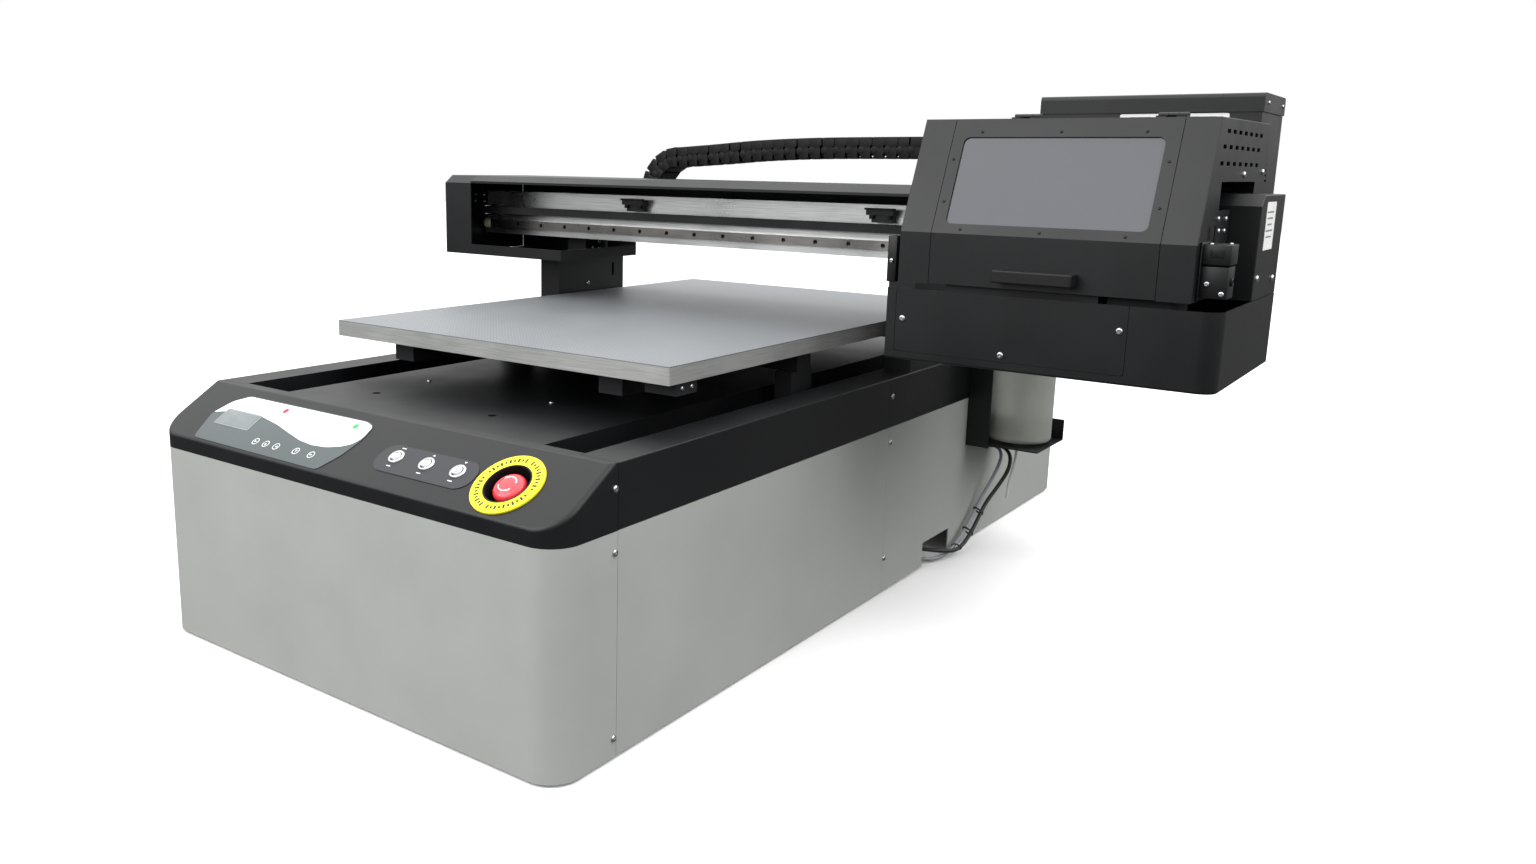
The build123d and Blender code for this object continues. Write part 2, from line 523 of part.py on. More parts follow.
TOP_EDGE_Z = BEAM_TOP - BEVEL_Z
with BuildPart() as beam_cover:
    front, rear = BEAM_FRONT, BEAM_REAR
    top_sheet = [(front, TOP_EDGE_Z + 4), (front + BEVEL_Y, BEAM_TOP), (rear, BEAM_TOP), (rear, PROFILE_Z0 + 1),
                 (rear - SHEET, PROFILE_Z0 + 1), (rear - SHEET, BEAM_TOP - SHEET),
                 (front + BEVEL_Y + 1, BEAM_TOP - SHEET), (front + SHEET, TOP_EDGE_Z + 2.6), (front, TOP_EDGE_Z)]
    prism_x(top_sheet, CAP_INNER, RIGHT_CAP_X0)
    block(CAP_INNER, TRAY_RIGHT, BEAM_FRONT, BEAM_REAR, BEAM_BOTTOM, BEAM_BOTTOM + SHEET)
    block(CAP_INNER, TRAY_RIGHT, BEAM_FRONT, BEAM_FRONT + SHEET, BEAM_BOTTOM, BEAM_BOTTOM + 19)
    block(CAP_INNER, TRAY_RIGHT, BEAM_REAR - SHEET, BEAM_REAR, BEAM_BOTTOM, PROFILE_Z0 + 1)
    block(TRAY_RIGHT - SHEET, TRAY_RIGHT, BEAM_FRONT, BEAM_REAR, BEAM_BOTTOM, BEAM_BOTTOM + 19)
    block(4, 58, FOOT_Y0 - 6, BEAM_REAR + 1, BEAM_BOTTOM - 1, PROFILE_Z0, mode=Mode.SUBTRACT)
beam_cover.part.label = "beam_cover"
export_step(beam_cover.part, "parts/beam_cover.step")


def cap_outline(inset, bottom, front=BEAM_FRONT):
    """An end cap's side outline as (y, z) points, drawn in from the outside by inset."""
    y0, y1 = front + inset, BEAM_REAR - inset
    return [(y0, bottom + inset), (y0, TOP_EDGE_Z - inset / 2), (y0 + BEVEL_Y - inset / 3, BEAM_TOP - inset),
            (y1, BEAM_TOP - inset), (y1, bottom + inset)]


with BuildPart() as beam_cap_left:
    prism_x(cap_outline(0, BEAM_BOTTOM), BEAM_LEFT, CAP_INNER)
    outer_ends = faces().sort_by(Axis.X)[0].edges()
    fillet(outer_ends, 7)
    prism_x(cap_outline(SHEET, BEAM_BOTTOM), BEAM_LEFT + SHEET, CAP_INNER, mode=Mode.SUBTRACT)
beam_cap_left.part.label = "beam_cap_left"
export_step(beam_cap_left.part, "parts/beam_cap_left.step")

CAP_SEAM = STATION_Z1 + 0.8
with BuildPart() as beam_cap_right:
    prism_x(cap_outline(0, CAP_SEAM, RIGHT_CAP_FRONT), RIGHT_CAP_X0, BEAM_RIGHT)
    fillet(faces().sort_by(Axis.X)[-1].edges().filter_by(lambda e: e.center().Z > CAP_SEAM + 1), 1.5)
    prism_x(cap_outline(SHEET, CAP_SEAM, RIGHT_CAP_FRONT), RIGHT_CAP_X0, BEAM_RIGHT - SHEET, mode=Mode.SUBTRACT)
beam_cap_right.part.label = "beam_cap_right"
export_step(beam_cap_right.part, "parts/beam_cap_right.step")

with BuildPart() as drive_belt:
    with BuildSketch(Plane.XY.offset(BELT_Z0)):
        with Locations(at((IDLER_X + DRIVE_X) / 2, PULLEY_Y, 0)):
            SlotCenterToCenter(DRIVE_X - IDLER_X, 2 * (PULLEY_R + SKIN + BELT_T))
            SlotCenterToCenter(DRIVE_X - IDLER_X, 2 * (PULLEY_R + SKIN), mode=Mode.SUBTRACT)
    extrude(amount=BELT_Z1 - BELT_Z0)
drive_belt.part.label = "drive_belt"
export_step(drive_belt.part, "parts/drive_belt.step")

for name, x in (("idler_pulley", IDLER_X), ("drive_pulley", DRIVE_X)):
    with BuildPart() as pulley:
        rod(x, PULLEY_Y, BELT_Z0 - 1, (0, 0, 1), PULLEY_R, BELT_Z1 - BELT_Z0 + 2)
        for z in (BELT_Z0 - 2, BELT_Z1 + 1):
            rod(x, PULLEY_Y, z, (0, 0, 1), PULLEY_R + 2.5, 1)
        rod(x, PULLEY_Y, BELT_Z0 - 3, (0, 0, 1), 2.56, BELT_Z1 - BELT_Z0 + 6, mode=Mode.SUBTRACT)
    pulley.part.label = name
    export_step(pulley.part, f"parts/{name}.step")

CLIP_XS = (223.0, 711.0)
with BuildPart() as x_drive_mounts:
    block(-168, -126, 787, 815, BELT_Z1 + 4, 622)
    block(-168, -160, 787, 815, BELT_Z0 - 8, BELT_Z1 + 4)
    block(-168, -126, 787, 815, BELT_Z0 - 8, BELT_Z0 - 4)
    rod(IDLER_X, PULLEY_Y, BELT_Z0 - 4, (0, 0, 1), 2.5, BELT_Z1 - BELT_Z0 + 8)
    block(-168, -126, 815, PROFILE_Y0, 600, 622)
    block(DRIVE_X - 22, DRIVE_X + 22, PULLEY_Y - 22, PULLEY_Y + 22, 526, BELT_Z0 - 6)
    rod(DRIVE_X, PULLEY_Y, BELT_Z0 - 6, (0, 0, 1), 2.5, BELT_Z1 - BELT_Z0 + 8)
    for x in CLIP_XS:
        block(x - 23, x + 23, 800, PROFILE_Y0, 606, 614)
        block(x - 16, x + 20, 806, PROFILE_Y0, 594.5, 606)
x_drive_mounts.part.label = "x_drive_mounts"
export_step(x_drive_mounts.part, "parts/x_drive_mounts.step")

with BuildPart() as chain_tray:
    block(BEAM_LEFT + 3, 760, BEAM_REAR, 1004, 541, 542.5)
    block(BEAM_LEFT + 3, 760, 1002.5, 1004, 541, 560)
    block(BEAM_LEFT + 3, 760, BEAM_REAR, BEAM_REAR + 1.5, 542.5, 560)
    block(CHAIN_FIXED_X, CHAIN_FIXED_X + 40, CHAIN_Y0, CHAIN_Y1, 542.5, 580)
chain_tray.part.label = "chain_tray"
export_step(chain_tray.part, "parts/chain_tray.step")

with BuildPart() as chain_lower:
    block(CHAIN_BEND_X + SKIN, CHAIN_FIXED_X, CHAIN_Y0, CHAIN_Y1, CHAIN_LOW_Z - CHAIN_H / 2, CHAIN_LOW_Z + CHAIN_H / 2)
chain_lower.part.label = "chain_lower"
export_step(chain_lower.part, "parts/chain_lower.step")

BEND_R = (CHAIN_BEND_Z - CHAIN_LOW_Z) / 2
with BuildPart() as chain_bend:
    rod(CHAIN_BEND_X, CHAIN_Y0, CHAIN_LOW_Z + BEND_R, (0, 1, 0), BEND_R + CHAIN_H / 2, CHAIN_Y1 - CHAIN_Y0)
    rod(CHAIN_BEND_X, CHAIN_Y0, CHAIN_LOW_Z + BEND_R, (0, 1, 0), BEND_R - CHAIN_H / 2, CHAIN_Y1 - CHAIN_Y0,
        mode=Mode.SUBTRACT)
    block(CHAIN_BEND_X, CHAIN_BEND_X + 120, CHAIN_Y0, CHAIN_Y1, 480, 760, mode=Mode.SUBTRACT)
chain_bend.part.label = "chain_bend"
export_step(chain_bend.part, "parts/chain_bend.step")

CHAIN_MIDDLE = ((CHAIN_BEND_X + SKIN, CHAIN_BEND_Z), (300, 698), (400, 705.5), (520, 710), (700, 711.5),
                (836, 711.5))
with BuildPart() as chain_upper:
    lower_edge = [(x, z - CHAIN_H / 2) for x, z in CHAIN_MIDDLE]
    upper_edge = [(x, z + CHAIN_H / 2) for x, z in reversed(CHAIN_MIDDLE)]
    prism_y(lower_edge + upper_edge, CHAIN_Y0, CHAIN_Y1)
chain_upper.part.label = "chain_upper"
export_step(chain_upper.part, "parts/chain_upper.step")

# ---------------------------------------------------------------- station housing, right of the base
PANEL_X0, PANEL_X1 = 838.0, 1145.0
PANEL_Z0 = 431.0
with BuildPart() as station_housing:
    rounded_z(STATION_X0, STATION_X1, STATION_Y0, BEAM_REAR, STATION_Z0, STATION_Z1, STATION_R)
    block(STATION_X0, STATION_X0 + 40, STATION_Y0, BEAM_REAR, STATION_Z0, STATION_Z1)
    block(STATION_X1 - 40, STATION_X1, BEAM_REAR - 40, BEAM_REAR, STATION_Z0, STATION_Z1)
    fillet(faces().sort_by(Axis.Z)[0].edges(), 3)
    rounded_z(STATION_X0 + SHEET, STATION_X1 - SHEET, STATION_Y0 + SHEET, BEAM_REAR - SHEET, STATION_Z0 + SHEET,
              STATION_Z1 + 5, STATION_R - SHEET, mode=Mode.SUBTRACT)
    block(STATION_X0 - 1, STATION_X0 + 30, STATION_Y0 + SHEET, BEAM_REAR - SHEET, STATION_Z0 + 14, STATION_Z1 + 5,
          mode=Mode.SUBTRACT)
    block(PANEL_X0 - GAP, PANEL_X1 + GAP, STATION_Y0, STATION_Y0 + SHEET, PANEL_Z0 - GAP, STATION_Z1 + 1,
          mode=Mode.SUBTRACT)
    block(PANEL_X0 - 12, PANEL_X1 + 14, STATION_Y0 + SHEET, STATION_Y0 + 4, PANEL_Z0 - 10, PANEL_Z0 + 14)
    block(PANEL_X1 - 12, PANEL_X1 + 14, STATION_Y0 + SHEET, STATION_Y0 + 4, PANEL_Z0 + 14, STATION_Z1)
    block(PANEL_X0 - 12, PANEL_X0 + 12, STATION_Y0 + SHEET, STATION_Y0 + 4, PANEL_Z0 + 14, STATION_Z1)
    for x in (900.0, 1120.0):
        block(x, x + 30, 825, 885, STATION_Z0 + SHEET, PROFILE_Z0)
    rod(BOTTLE_X + 30, 915, STATION_Z0 - 1, (0, 0, 1), 9, 8, mode=Mode.SUBTRACT)
station_housing.part.label = "station_housing"
export_step(station_housing.part, "parts/station_housing.step")

with BuildPart() as station_panel:
    block(PANEL_X0, PANEL_X1, STATION_Y0, STATION_Y0 + SHEET, PANEL_Z0, STATION_Z1)
    fillet(edges().filter_by(Axis.Y).group_by(Axis.Z)[0].sort_by(Axis.X)[-1], 5)
station_panel.part.label = "station_panel"
export_step(station_panel.part, "parts/station_panel.step")

CAP_LIFT_TOP = HEAD_BOTTOM - 0.4
HEAD_XS = (930.0, 990.0, 1050.0)
HEAD_Y0, HEAD_Y1 = 624.0, 702.0
with BuildPart() as capping_station:
    block(905, 1105, 618, 708, CAP_LIFT_TOP - 12, CAP_LIFT_TOP - 5)
    for x in HEAD_XS:
        block(x - 4, x + 38, HEAD_Y0 - 2, HEAD_Y1 + 2, CAP_LIFT_TOP - 5, CAP_LIFT_TOP)
        block(x, x + 34, HEAD_Y0 + 2, HEAD_Y1 - 2, CAP_LIFT_TOP - 3, CAP_LIFT_TOP, mode=Mode.SUBTRACT)
capping_station.part.label = "capping_station"
export_step(capping_station.part, "parts/capping_station.step")

# ---------------------------------------------------------------- carriage
with BuildPart() as carriage_plate:
    block(905, 1105, 770, 786, 530, 636)
    for x in (925.0, 1025.0):
        block(x, x + 58, 786, PROFILE_Y0 - 4, RAIL_Z - 17, RAIL_Z + 17)
        block(x - 1, x + 59, PROFILE_Y0 - RAIL_T - 0.4, PROFILE_Y0, RAIL_Z - 7.9, RAIL_Z + 7.9, mode=Mode.SUBTRACT)
    block(985, 1023, 786, 791, BELT_Z0 - 1, BELT_Z1 + 3)
carriage_plate.part.label = "carriage_plate"
export_step(carriage_plate.part, "parts/carriage_plate.step")

with BuildPart() as print_head_box:
    block(905, 1105, 616, 708, 470, 560)
    block(908, 1102, 619, 705, 472, 561, mode=Mode.SUBTRACT)
    block(905, 1105, 708, 770, 530, 545)
    for x in HEAD_XS:
        block(x, x + 34, HEAD_Y0, HEAD_Y1, HEAD_BOTTOM, 520)
    block(1112, 1190, 630, 705, 462, 560)
    block(1105, 1112, 660, 700, 500, 540)
    for x0, x1 in ((HOOD_X0 + SHEET, 905), (1190, HOOD_X1 - SHEET)):
        block(x0, x1, 680, 700, 535, 550)
print_head_box.part.label = "print_head_box"
export_step(print_head_box.part, "parts/print_head_box.step")

hood_outside = (
    (HOOD_FRONT, HOOD_BOTTOM), (HOOD_FRONT, HOOD_BEND), (HOOD_SLANT_Y, HOOD_TOP), (HOOD_REAR, HOOD_TOP + 2.5),
    (HOOD_REAR, HOOD_PASS_Z), (HOOD_PASS_Y, HOOD_PASS_Z), (HOOD_PASS_Y, HOOD_BOTTOM))
hood_inside = (
    (HOOD_FRONT + SHEET, HOOD_BOTTOM - 5), (HOOD_FRONT + SHEET, HOOD_BEND - 0.4),
    (HOOD_SLANT_Y + 1.3, HOOD_TOP - SHEET), (HOOD_REAR - SHEET, HOOD_TOP + 0.5),
    (HOOD_REAR - SHEET, HOOD_BOTTOM - 5))
with BuildPart() as hood_shell:
    prism_x(hood_outside, HOOD_X0, HOOD_X1)
    ends = faces().sort_by(Axis.X)[0].edges() + faces().sort_by(Axis.X)[-1].edges()
    in_front = at(0, HOOD_PASS_Y - 5, 0).Y
    fillet([edge for edge in ends if edge.center().Z > HOOD_PASS_Z + 5 or edge.center().Y < in_front], 1.2)
    prism_x(hood_inside, HOOD_X0 + SHEET, HOOD_X1 - SHEET, mode=Mode.SUBTRACT)
    block(HOOD_X1 - SHEET, HOOD_X1, HOOD_PASS_Y - 4, HOOD_WING_Y, HOOD_BOTTOM + 4, HOOD_WING_Z)
    block(DOOR_X0, DOOR_X1, HOOD_FRONT - 1, HINGE_Y, HOOD_BOTTOM - 1, HOOD_TOP + 5, mode=Mode.SUBTRACT)
    for y0, pitch, z in ((712, 34, 729), (697, 35, 710), (690, 36, 690)):
        for column in range(7):
            block(HOOD_X1 - 3, HOOD_X1 + 1, y0 + pitch * column - 9, y0 + pitch * column + 9, z - 2.5, z + 2.5,
                  mode=Mode.SUBTRACT)
    for x in HINGE_XS:
        block(x - 6, x + 6, HINGE_Y + 3.5, HINGE_Y + 16, HOOD_TOP, HOOD_TOP + 2)
        rod(x - 6, HINGE_Y, HINGE_Z, (1, 0, 0), 3, 12)
        block(x - 6, x + 6, HINGE_Y + 1, HINGE_Y + 4, HINGE_Z - 3, HINGE_Z - 1)
hood_shell.part.label = "hood_shell"
export_step(hood_shell.part, "parts/hood_shell.step")

DOOR_GAP = 0.8
door_outline = (
    (HOOD_FRONT, HOOD_BOTTOM + 1), (HOOD_FRONT, HOOD_BEND), (HOOD_SLANT_Y, HOOD_TOP), (HINGE_Y - 1, HOOD_TOP),
    (HINGE_Y - 1, HOOD_TOP - SHEET), (HOOD_SLANT_Y + 1.3, HOOD_TOP - SHEET), (HOOD_FRONT + SHEET, HOOD_BEND - 0.4),
    (HOOD_FRONT + SHEET, HOOD_BOTTOM + 1))
WINDOW_X0, WINDOW_X1 = 899.0, 1156.0
WINDOW_S0, WINDOW_S1 = 14.0, 137.0
window_mid = ((WINDOW_X0 + WINDOW_X1) / 2, (WINDOW_S0 + WINDOW_S1) / 2)
window_size = (WINDOW_X1 - WINDOW_X0, WINDOW_S1 - WINDOW_S0)
with BuildPart() as hood_door:
    prism_x(door_outline, DOOR_X0 + DOOR_GAP, DOOR_X1 - DOOR_GAP)
    with BuildSketch(hood_plane(*window_mid, -10), mode=Mode.PRIVATE) as window_cut:
        RectangleRounded(*window_size, 9)
    extrude(window_cut.sketch, amount=20, mode=Mode.SUBTRACT)
    for x in HINGE_XS:
        for shift in (-18.0, 6.3):
            block(x + shift, x + shift + 11.7, HINGE_Y - 14, HINGE_Y - 2.5, HOOD_TOP, HOOD_TOP + 2)
            rod(x + shift, HINGE_Y, HINGE_Z, (1, 0, 0), 3, 11.7)
            block(x + shift, x + shift + 11.7, HINGE_Y - 3.5, HINGE_Y - 1, HOOD_TOP + 0.5, HINGE_Z - 1)
hood_door.part.label = "hood_door"
export_step(hood_door.part, "parts/hood_door.step")

with BuildPart() as hood_window:
    with BuildSketch(hood_plane(*window_mid, -2 * SHEET), mode=Mode.PRIVATE) as pane:
        RectangleRounded(window_size[0] + 20, window_size[1] + 18, 9)
    extrude(pane.sketch, amount=SHEET)
hood_window.part.label = "hood_window"
export_step(hood_window.part, "parts/hood_window.step")

HANDLE_X0, HANDLE_X1 = 977.0, 1080.0
with BuildPart() as hood_handle:
    block(HANDLE_X0, HANDLE_X1, 584, HOOD_FRONT, 536, 552)
    fillet(edges().filter_by(Axis.Z), 3)
    block(HANDLE_X0 + 11, HANDLE_X1 - 11, 593, HOOD_FRONT, 535, 553, mode=Mode.SUBTRACT)
    fillet(faces().sort_by(Axis.Y)[0].edges(), 2)
hood_handle.part.label = "hood_handle"
export_step(hood_handle.part, "parts/hood_handle.step")

with BuildPart() as crash_sensors:
    block(HOOD_X1, 1249, 622, 662, 528, 598)
    block(HOOD_X1, 1244, 663, 700, 532, 588)
    block(794, HOOD_X0, 662, 690, 519, 585)
    block(HOOD_X0 - 8, HOOD_X0, 690, 698, 526, 580)
    fillet(edges().filter_by(Axis.Y), 1.5)
crash_sensors.part.label = "crash_sensors"
export_step(crash_sensors.part, "parts/crash_sensors.step")

with BuildPart() as ink_box:
    block(INK_X0, INK_X1, INK_Y0, INK_Y1, INK_Z0, INK_SEAM - 0.5)
    block(INK_X0 + SHEET, INK_X1 - SHEET, INK_Y0 + SHEET, INK_Y1 - SHEET, INK_Z0 + SHEET, INK_SEAM, mode=Mode.SUBTRACT)
    for slot in range(7):
        block(INK_X1 - 3, INK_X1 + 1, 1015 + 4 * slot, 1033 + 4 * slot, 713 - 7.6 * slot, 716 - 7.6 * slot,
              mode=Mode.SUBTRACT)
    block(INK_X0 + 12, INK_X1 - 12, INK_Y0 + 20, INK_Y1 - 20, INK_Z0 + SHEET, 720)
    for x in LID_HINGE_XS:
        rod(x - 6, LID_PIVOT_Y, LID_PIVOT_Z, (1, 0, 0), 3, 12)
        block(x - 6, x + 6, INK_Y1, LID_PIVOT_Y + 1.5, 736, 738)
        block(x - 6, x + 6, INK_Y1 + 1.6, LID_PIVOT_Y + 1.5, 738, LID_PIVOT_Z - 1)
    block(HOOD_X0 - 1, INK_X0, INK_Y0 + 3, CHAIN_Y1, CHAIN_MIDDLE[-1][1] - CHAIN_H / 2, CHAIN_MIDDLE[-1][1] + CHAIN_H / 2)
ink_box.part.label = "ink_box"
export_step(ink_box.part, "parts/ink_box.step")

with BuildPart() as ink_lid:
    block(INK_X0 - 2, INK_X1 + 2, INK_Y0 - 2, INK_Y1, INK_SEAM, INK_TOP)
    fillet(edges().filter_by(Axis.X).group_by(Axis.Z)[-1], 6)
    block(INK_X0, INK_X1, INK_Y0, INK_Y1 - SHEET, INK_SEAM, INK_TOP - SHEET, mode=Mode.SUBTRACT)
    for x in LID_HINGE_XS:
        for x0, x1 in ((x - 18, x - 6.3), (x + 6.3, x + 18)):
            rod(x0, LID_PIVOT_Y, LID_PIVOT_Z, (1, 0, 0), 3, x1 - x0)
            block(x0, x1, INK_Y1 - 22, LID_PIVOT_Y, INK_TOP - 0.5, INK_TOP + 1.5)
ink_lid.part.label = "ink_lid"
export_step(ink_lid.part, "parts/ink_lid.step")

# ---------------------------------------------------------------- cords at the base's right side
CABLE_ROUTE = ((757, 1230, 170), (781, 1230, 170), (799, 1224, 155), (800, 1213, 129), (789, 1195, 101),
               (777, 1171, 73), (776, 1141, 50), (777, 1106, 29), (777, 1070, 15), (776, 1036, 13),
               (769, 1007, 19), (746, 986, 21), (714, 976, 25), (682, 972, 28))
TUBE_ROUTE = ((757, 1214, 172), (774, 1214, 172), (786, 1209, 161), (787, 1199, 142), (778, 1182, 109),
              (768, 1160, 76), (767, 1130, 52), (767, 1095, 31), (767, 1058, 16), (766, 1020, 8),
              (759, 986, 7), (738, 964, 9), (708, 956, 12), (682, 953, 13))
DRAIN_ROUTE = ((811, 1216, 186), (811, 1216, 167), (810, 1212, 146), (808, 1205, 122), (807, 1196, 100),
               (808, 1190, 82))
CORDS = {"power_cable": (CABLE_ROUTE, 7.0), "ink_tube": (TUBE_ROUTE, 6.0), "drain_tube": (DRAIN_ROUTE, 5.0)}
ARC_SHARE = 0.45            # part of the shorter run that an arc takes up


def arc_radii(route):
    """The radius of each inner corner, as large as the two runs beside it allow."""
    spots = [Vector(*spot) for spot in route]
    radii = []
    for before, corner, after in zip(spots, spots[1:], spots[2:]):
        turn = (corner - before).get_angle(after - corner)
        shorter = min((corner - before).length, (after - corner).length)
        radii.append(ARC_SHARE * shorter / math.tan(math.radians(turn / 2)))
    return radii


for name, (route, diameter) in CORDS.items():
    radii = arc_radii(route)
    with BuildPart() as cord:
        with BuildLine() as middle:
            path = FilletPolyline(*[at(*spot) for spot in route], radius=radii)
        with BuildSketch(Plane(origin=path @ 0, z_dir=path % 0)):
            Circle(diameter / 2)
        sweep(path=path)
    expected = math.pi * diameter ** 2 / 4 * path.length
    print(name, "length", round(path.length, 1), "volume ratio", round(cord.part.volume / expected, 4))
    print("  radii", [round(radius) for radius in radii])
    cord.part.label = name
    export_step(cord.part, f"parts/{name}.step")

# ---------------------------------------------------------------- waste bottle on the right side
with BuildPart() as waste_bottle:
    rod(BOTTLE_X, BOTTLE_Y, BOTTLE_Z0, (0, 0, 1), BOTTLE_R, 170)
    rod(BOTTLE_X, BOTTLE_Y, BOTTLE_Z0 + 170, (0, 0, 1), 24, 30)
    fillet(edges().filter_by(GeomType.CIRCLE).group_by(Axis.Z)[-2], 8)
    fillet(edges().filter_by(GeomType.CIRCLE).group_by(Axis.Z)[0], 5)
waste_bottle.part.label = "waste_bottle"
export_step(waste_bottle.part, "parts/waste_bottle.step")

with BuildPart() as bottle_bracket:
    block(BASE_W, BASE_W + SHEET, 1108, 1248, 190, 275)
    block(BASE_W, 796, 1108, 1110, 190, 420)
    block(BASE_W + SHEET, 884, 1110, 1248, 194, 196)
    block(BASE_W + SHEET, 884, 1246, 1248, 196, 232)
    rod(*DRAIN_ROUTE[0], (0, 0, 1), 4, 194 - DRAIN_ROUTE[0][2])
    for route in (CABLE_ROUTE, TUBE_ROUTE):
        x, y, z = route[0]
        rod(BASE_W, y, z, (1, 0, 0), 6.5, x - BASE_W)
bottle_bracket.part.label = "bottle_bracket"
export_step(bottle_bracket.part, "parts/bottle_bracket.step")

BASE_SCREWS = ((BASE_W, 100, 252), (BASE_W, 100, 28), (BASE_W, 100, 326), (BASE_W, 793, 252), (BASE_W, 793, 60),
               (BASE_W, 793, 326), (BASE_W, 1560, 252))
with BuildPart() as base_screws:
    for x, y, z in BASE_SCREWS:
        for side in (1, -1):
            rod(x if side > 0 else BASE_W - x, y, z, (side, 0, 0), 4.2, 2.2)
    for x, y in ((215, 317), (464, 317), (215, 1500), (464, 1500)):
        rod(x, y, DECK_TOP, (0, 0, 1), 3.5, 1.8)
base_screws.part.label = "base_screws"
export_step(base_screws.part, "parts/base_screws.step")
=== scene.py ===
import json
import logging
import math
from collections.abc import Iterable, Sequence
from dataclasses import dataclass
from enum import Enum

import bmesh
import bpy
from mathutils import Matrix, Vector


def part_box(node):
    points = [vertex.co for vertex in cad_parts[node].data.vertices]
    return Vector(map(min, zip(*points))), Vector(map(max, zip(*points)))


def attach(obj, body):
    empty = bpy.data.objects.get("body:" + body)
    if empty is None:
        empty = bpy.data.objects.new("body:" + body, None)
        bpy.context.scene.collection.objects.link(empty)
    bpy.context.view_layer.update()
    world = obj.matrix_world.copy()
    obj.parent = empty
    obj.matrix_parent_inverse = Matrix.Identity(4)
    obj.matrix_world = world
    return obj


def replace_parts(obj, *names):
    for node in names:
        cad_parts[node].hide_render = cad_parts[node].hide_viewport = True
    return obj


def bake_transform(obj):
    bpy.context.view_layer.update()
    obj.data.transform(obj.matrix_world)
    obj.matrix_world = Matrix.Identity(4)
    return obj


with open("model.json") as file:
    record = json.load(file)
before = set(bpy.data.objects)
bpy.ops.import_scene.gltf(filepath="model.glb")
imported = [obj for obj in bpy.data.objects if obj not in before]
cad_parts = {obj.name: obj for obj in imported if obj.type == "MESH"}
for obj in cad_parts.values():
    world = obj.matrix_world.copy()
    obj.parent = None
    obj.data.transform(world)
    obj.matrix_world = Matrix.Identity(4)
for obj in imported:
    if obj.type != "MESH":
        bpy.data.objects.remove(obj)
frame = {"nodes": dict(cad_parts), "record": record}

# Looks of a 600 x 900 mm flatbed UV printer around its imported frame. Stations are the base's own:
# millimetres from its left side (x), its front (y) and the floor (z).

LOG = logging.getLogger("printer")
MM = 0.001
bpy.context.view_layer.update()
BASE_CORNER = Vector(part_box("base_front_shell")[0])
ORIGIN = Vector((BASE_CORNER.x, BASE_CORNER.y, 0.0))
STATIONS = Matrix.Translation(ORIGIN) @ Matrix.Scale(MM, 4)

BASE_W = 754.0
BAND_TOP = 297.0
SLOPE_DEPTH, SLOPE_RISE = 95.0, 58.0
HOOD_FRONT, HOOD_BEND = 608.0, 594.5
HOOD_SLANT, HOOD_RISE = 64.0, 150.0
HOOD_RIGHT = 1215.0
INK_FRONT = 973.0
CAP_RIGHT, CAP_RIGHT_FRONT = 1250.0, 776.0
CHAIN_Y0, CHAIN_Y1 = 941.0, 998.0

Point = tuple[float, float]
Spot = tuple[float, float, float]


def at(x: float, y: float, z: float) -> Vector:
    """A station in millimetres as a point of the frame in metres."""
    return STATIONS @ Vector((x, y, z))


@dataclass(frozen=True)
class Face:
    """A flat face of the machine, with its own across and up."""

    corner: Spot
    across: Spot
    up: Spot

    def place(self, s: float, t: float, lift: float = 0.0, turn: float = 0.0) -> Matrix:
        """The matrix of a spot on the face.

        Args:
            s: Millimetres across from the corner.
            t: Millimetres up from the corner.
            lift: Millimetres off the face.
            turn: Degrees about the face's normal.

        Returns:
            A matrix from millimetres on the face to the frame.
        """
        x_dir = Vector(self.across).normalized()
        y_dir = Vector(self.up).normalized()
        z_dir = x_dir.cross(y_dir)
        turned = Matrix((x_dir, y_dir, z_dir)).transposed().to_4x4() @ Matrix.Rotation(
            math.radians(turn), 4, "Z")
        spot = Vector(self.corner) + x_dir * s + y_dir * t + z_dir * lift
        return STATIONS @ Matrix.Translation(spot) @ turned


CONSOLE = Face((0, 0, BAND_TOP), (1, 0, 0), (0, SLOPE_DEPTH, SLOPE_RISE))
HOOD_SLOPE = Face((0, HOOD_FRONT, HOOD_BEND), (1, 0, 0), (0, HOOD_SLANT, HOOD_RISE))


def facing_right(x: float) -> Face:
    """The upright face at station x that looks right, measured by y and z."""
    return Face((x, 0, 0), (0, 1, 0), (0, 0, 1))


def facing_left(x: float) -> Face:
    """The upright face at station x that looks left, measured by minus y and z."""
    return Face((x, 0, 0), (0, -1, 0), (0, 0, 1))


def facing_front(y: float) -> Face:
    """The upright face at station y that looks forward, measured by x and z."""
    return Face((0, y, 0), (1, 0, 0), (0, 0, 1))


def facing_up(z: float) -> Face:
    """The level face at station z, measured by x and y."""
    return Face((0, 0, z), (1, 0, 0), (0, 1, 0))


# ---------------------------------------------------------------- finishes
class Grain(Enum):
    """How a surface was made."""

    SPRAYED = "sprayed"
    MOULDED = "moulded"
    BRUSHED = "brushed"
    PRINTED = "printed"
    PUNCHED = "punched"


def linear(hex_colour: str) -> tuple[float, float, float, float]:
    """An sRGB hex value as a linear colour with an alpha of 1."""
    parts = [int(hex_colour[i:i + 2], 16) / 255 for i in (1, 3, 5)]
    red, green, blue = (p / 12.92 if p <= 0.04045 else ((p + 0.055) / 1.055) ** 2.4 for p in parts)
    return red, green, blue, 1.0


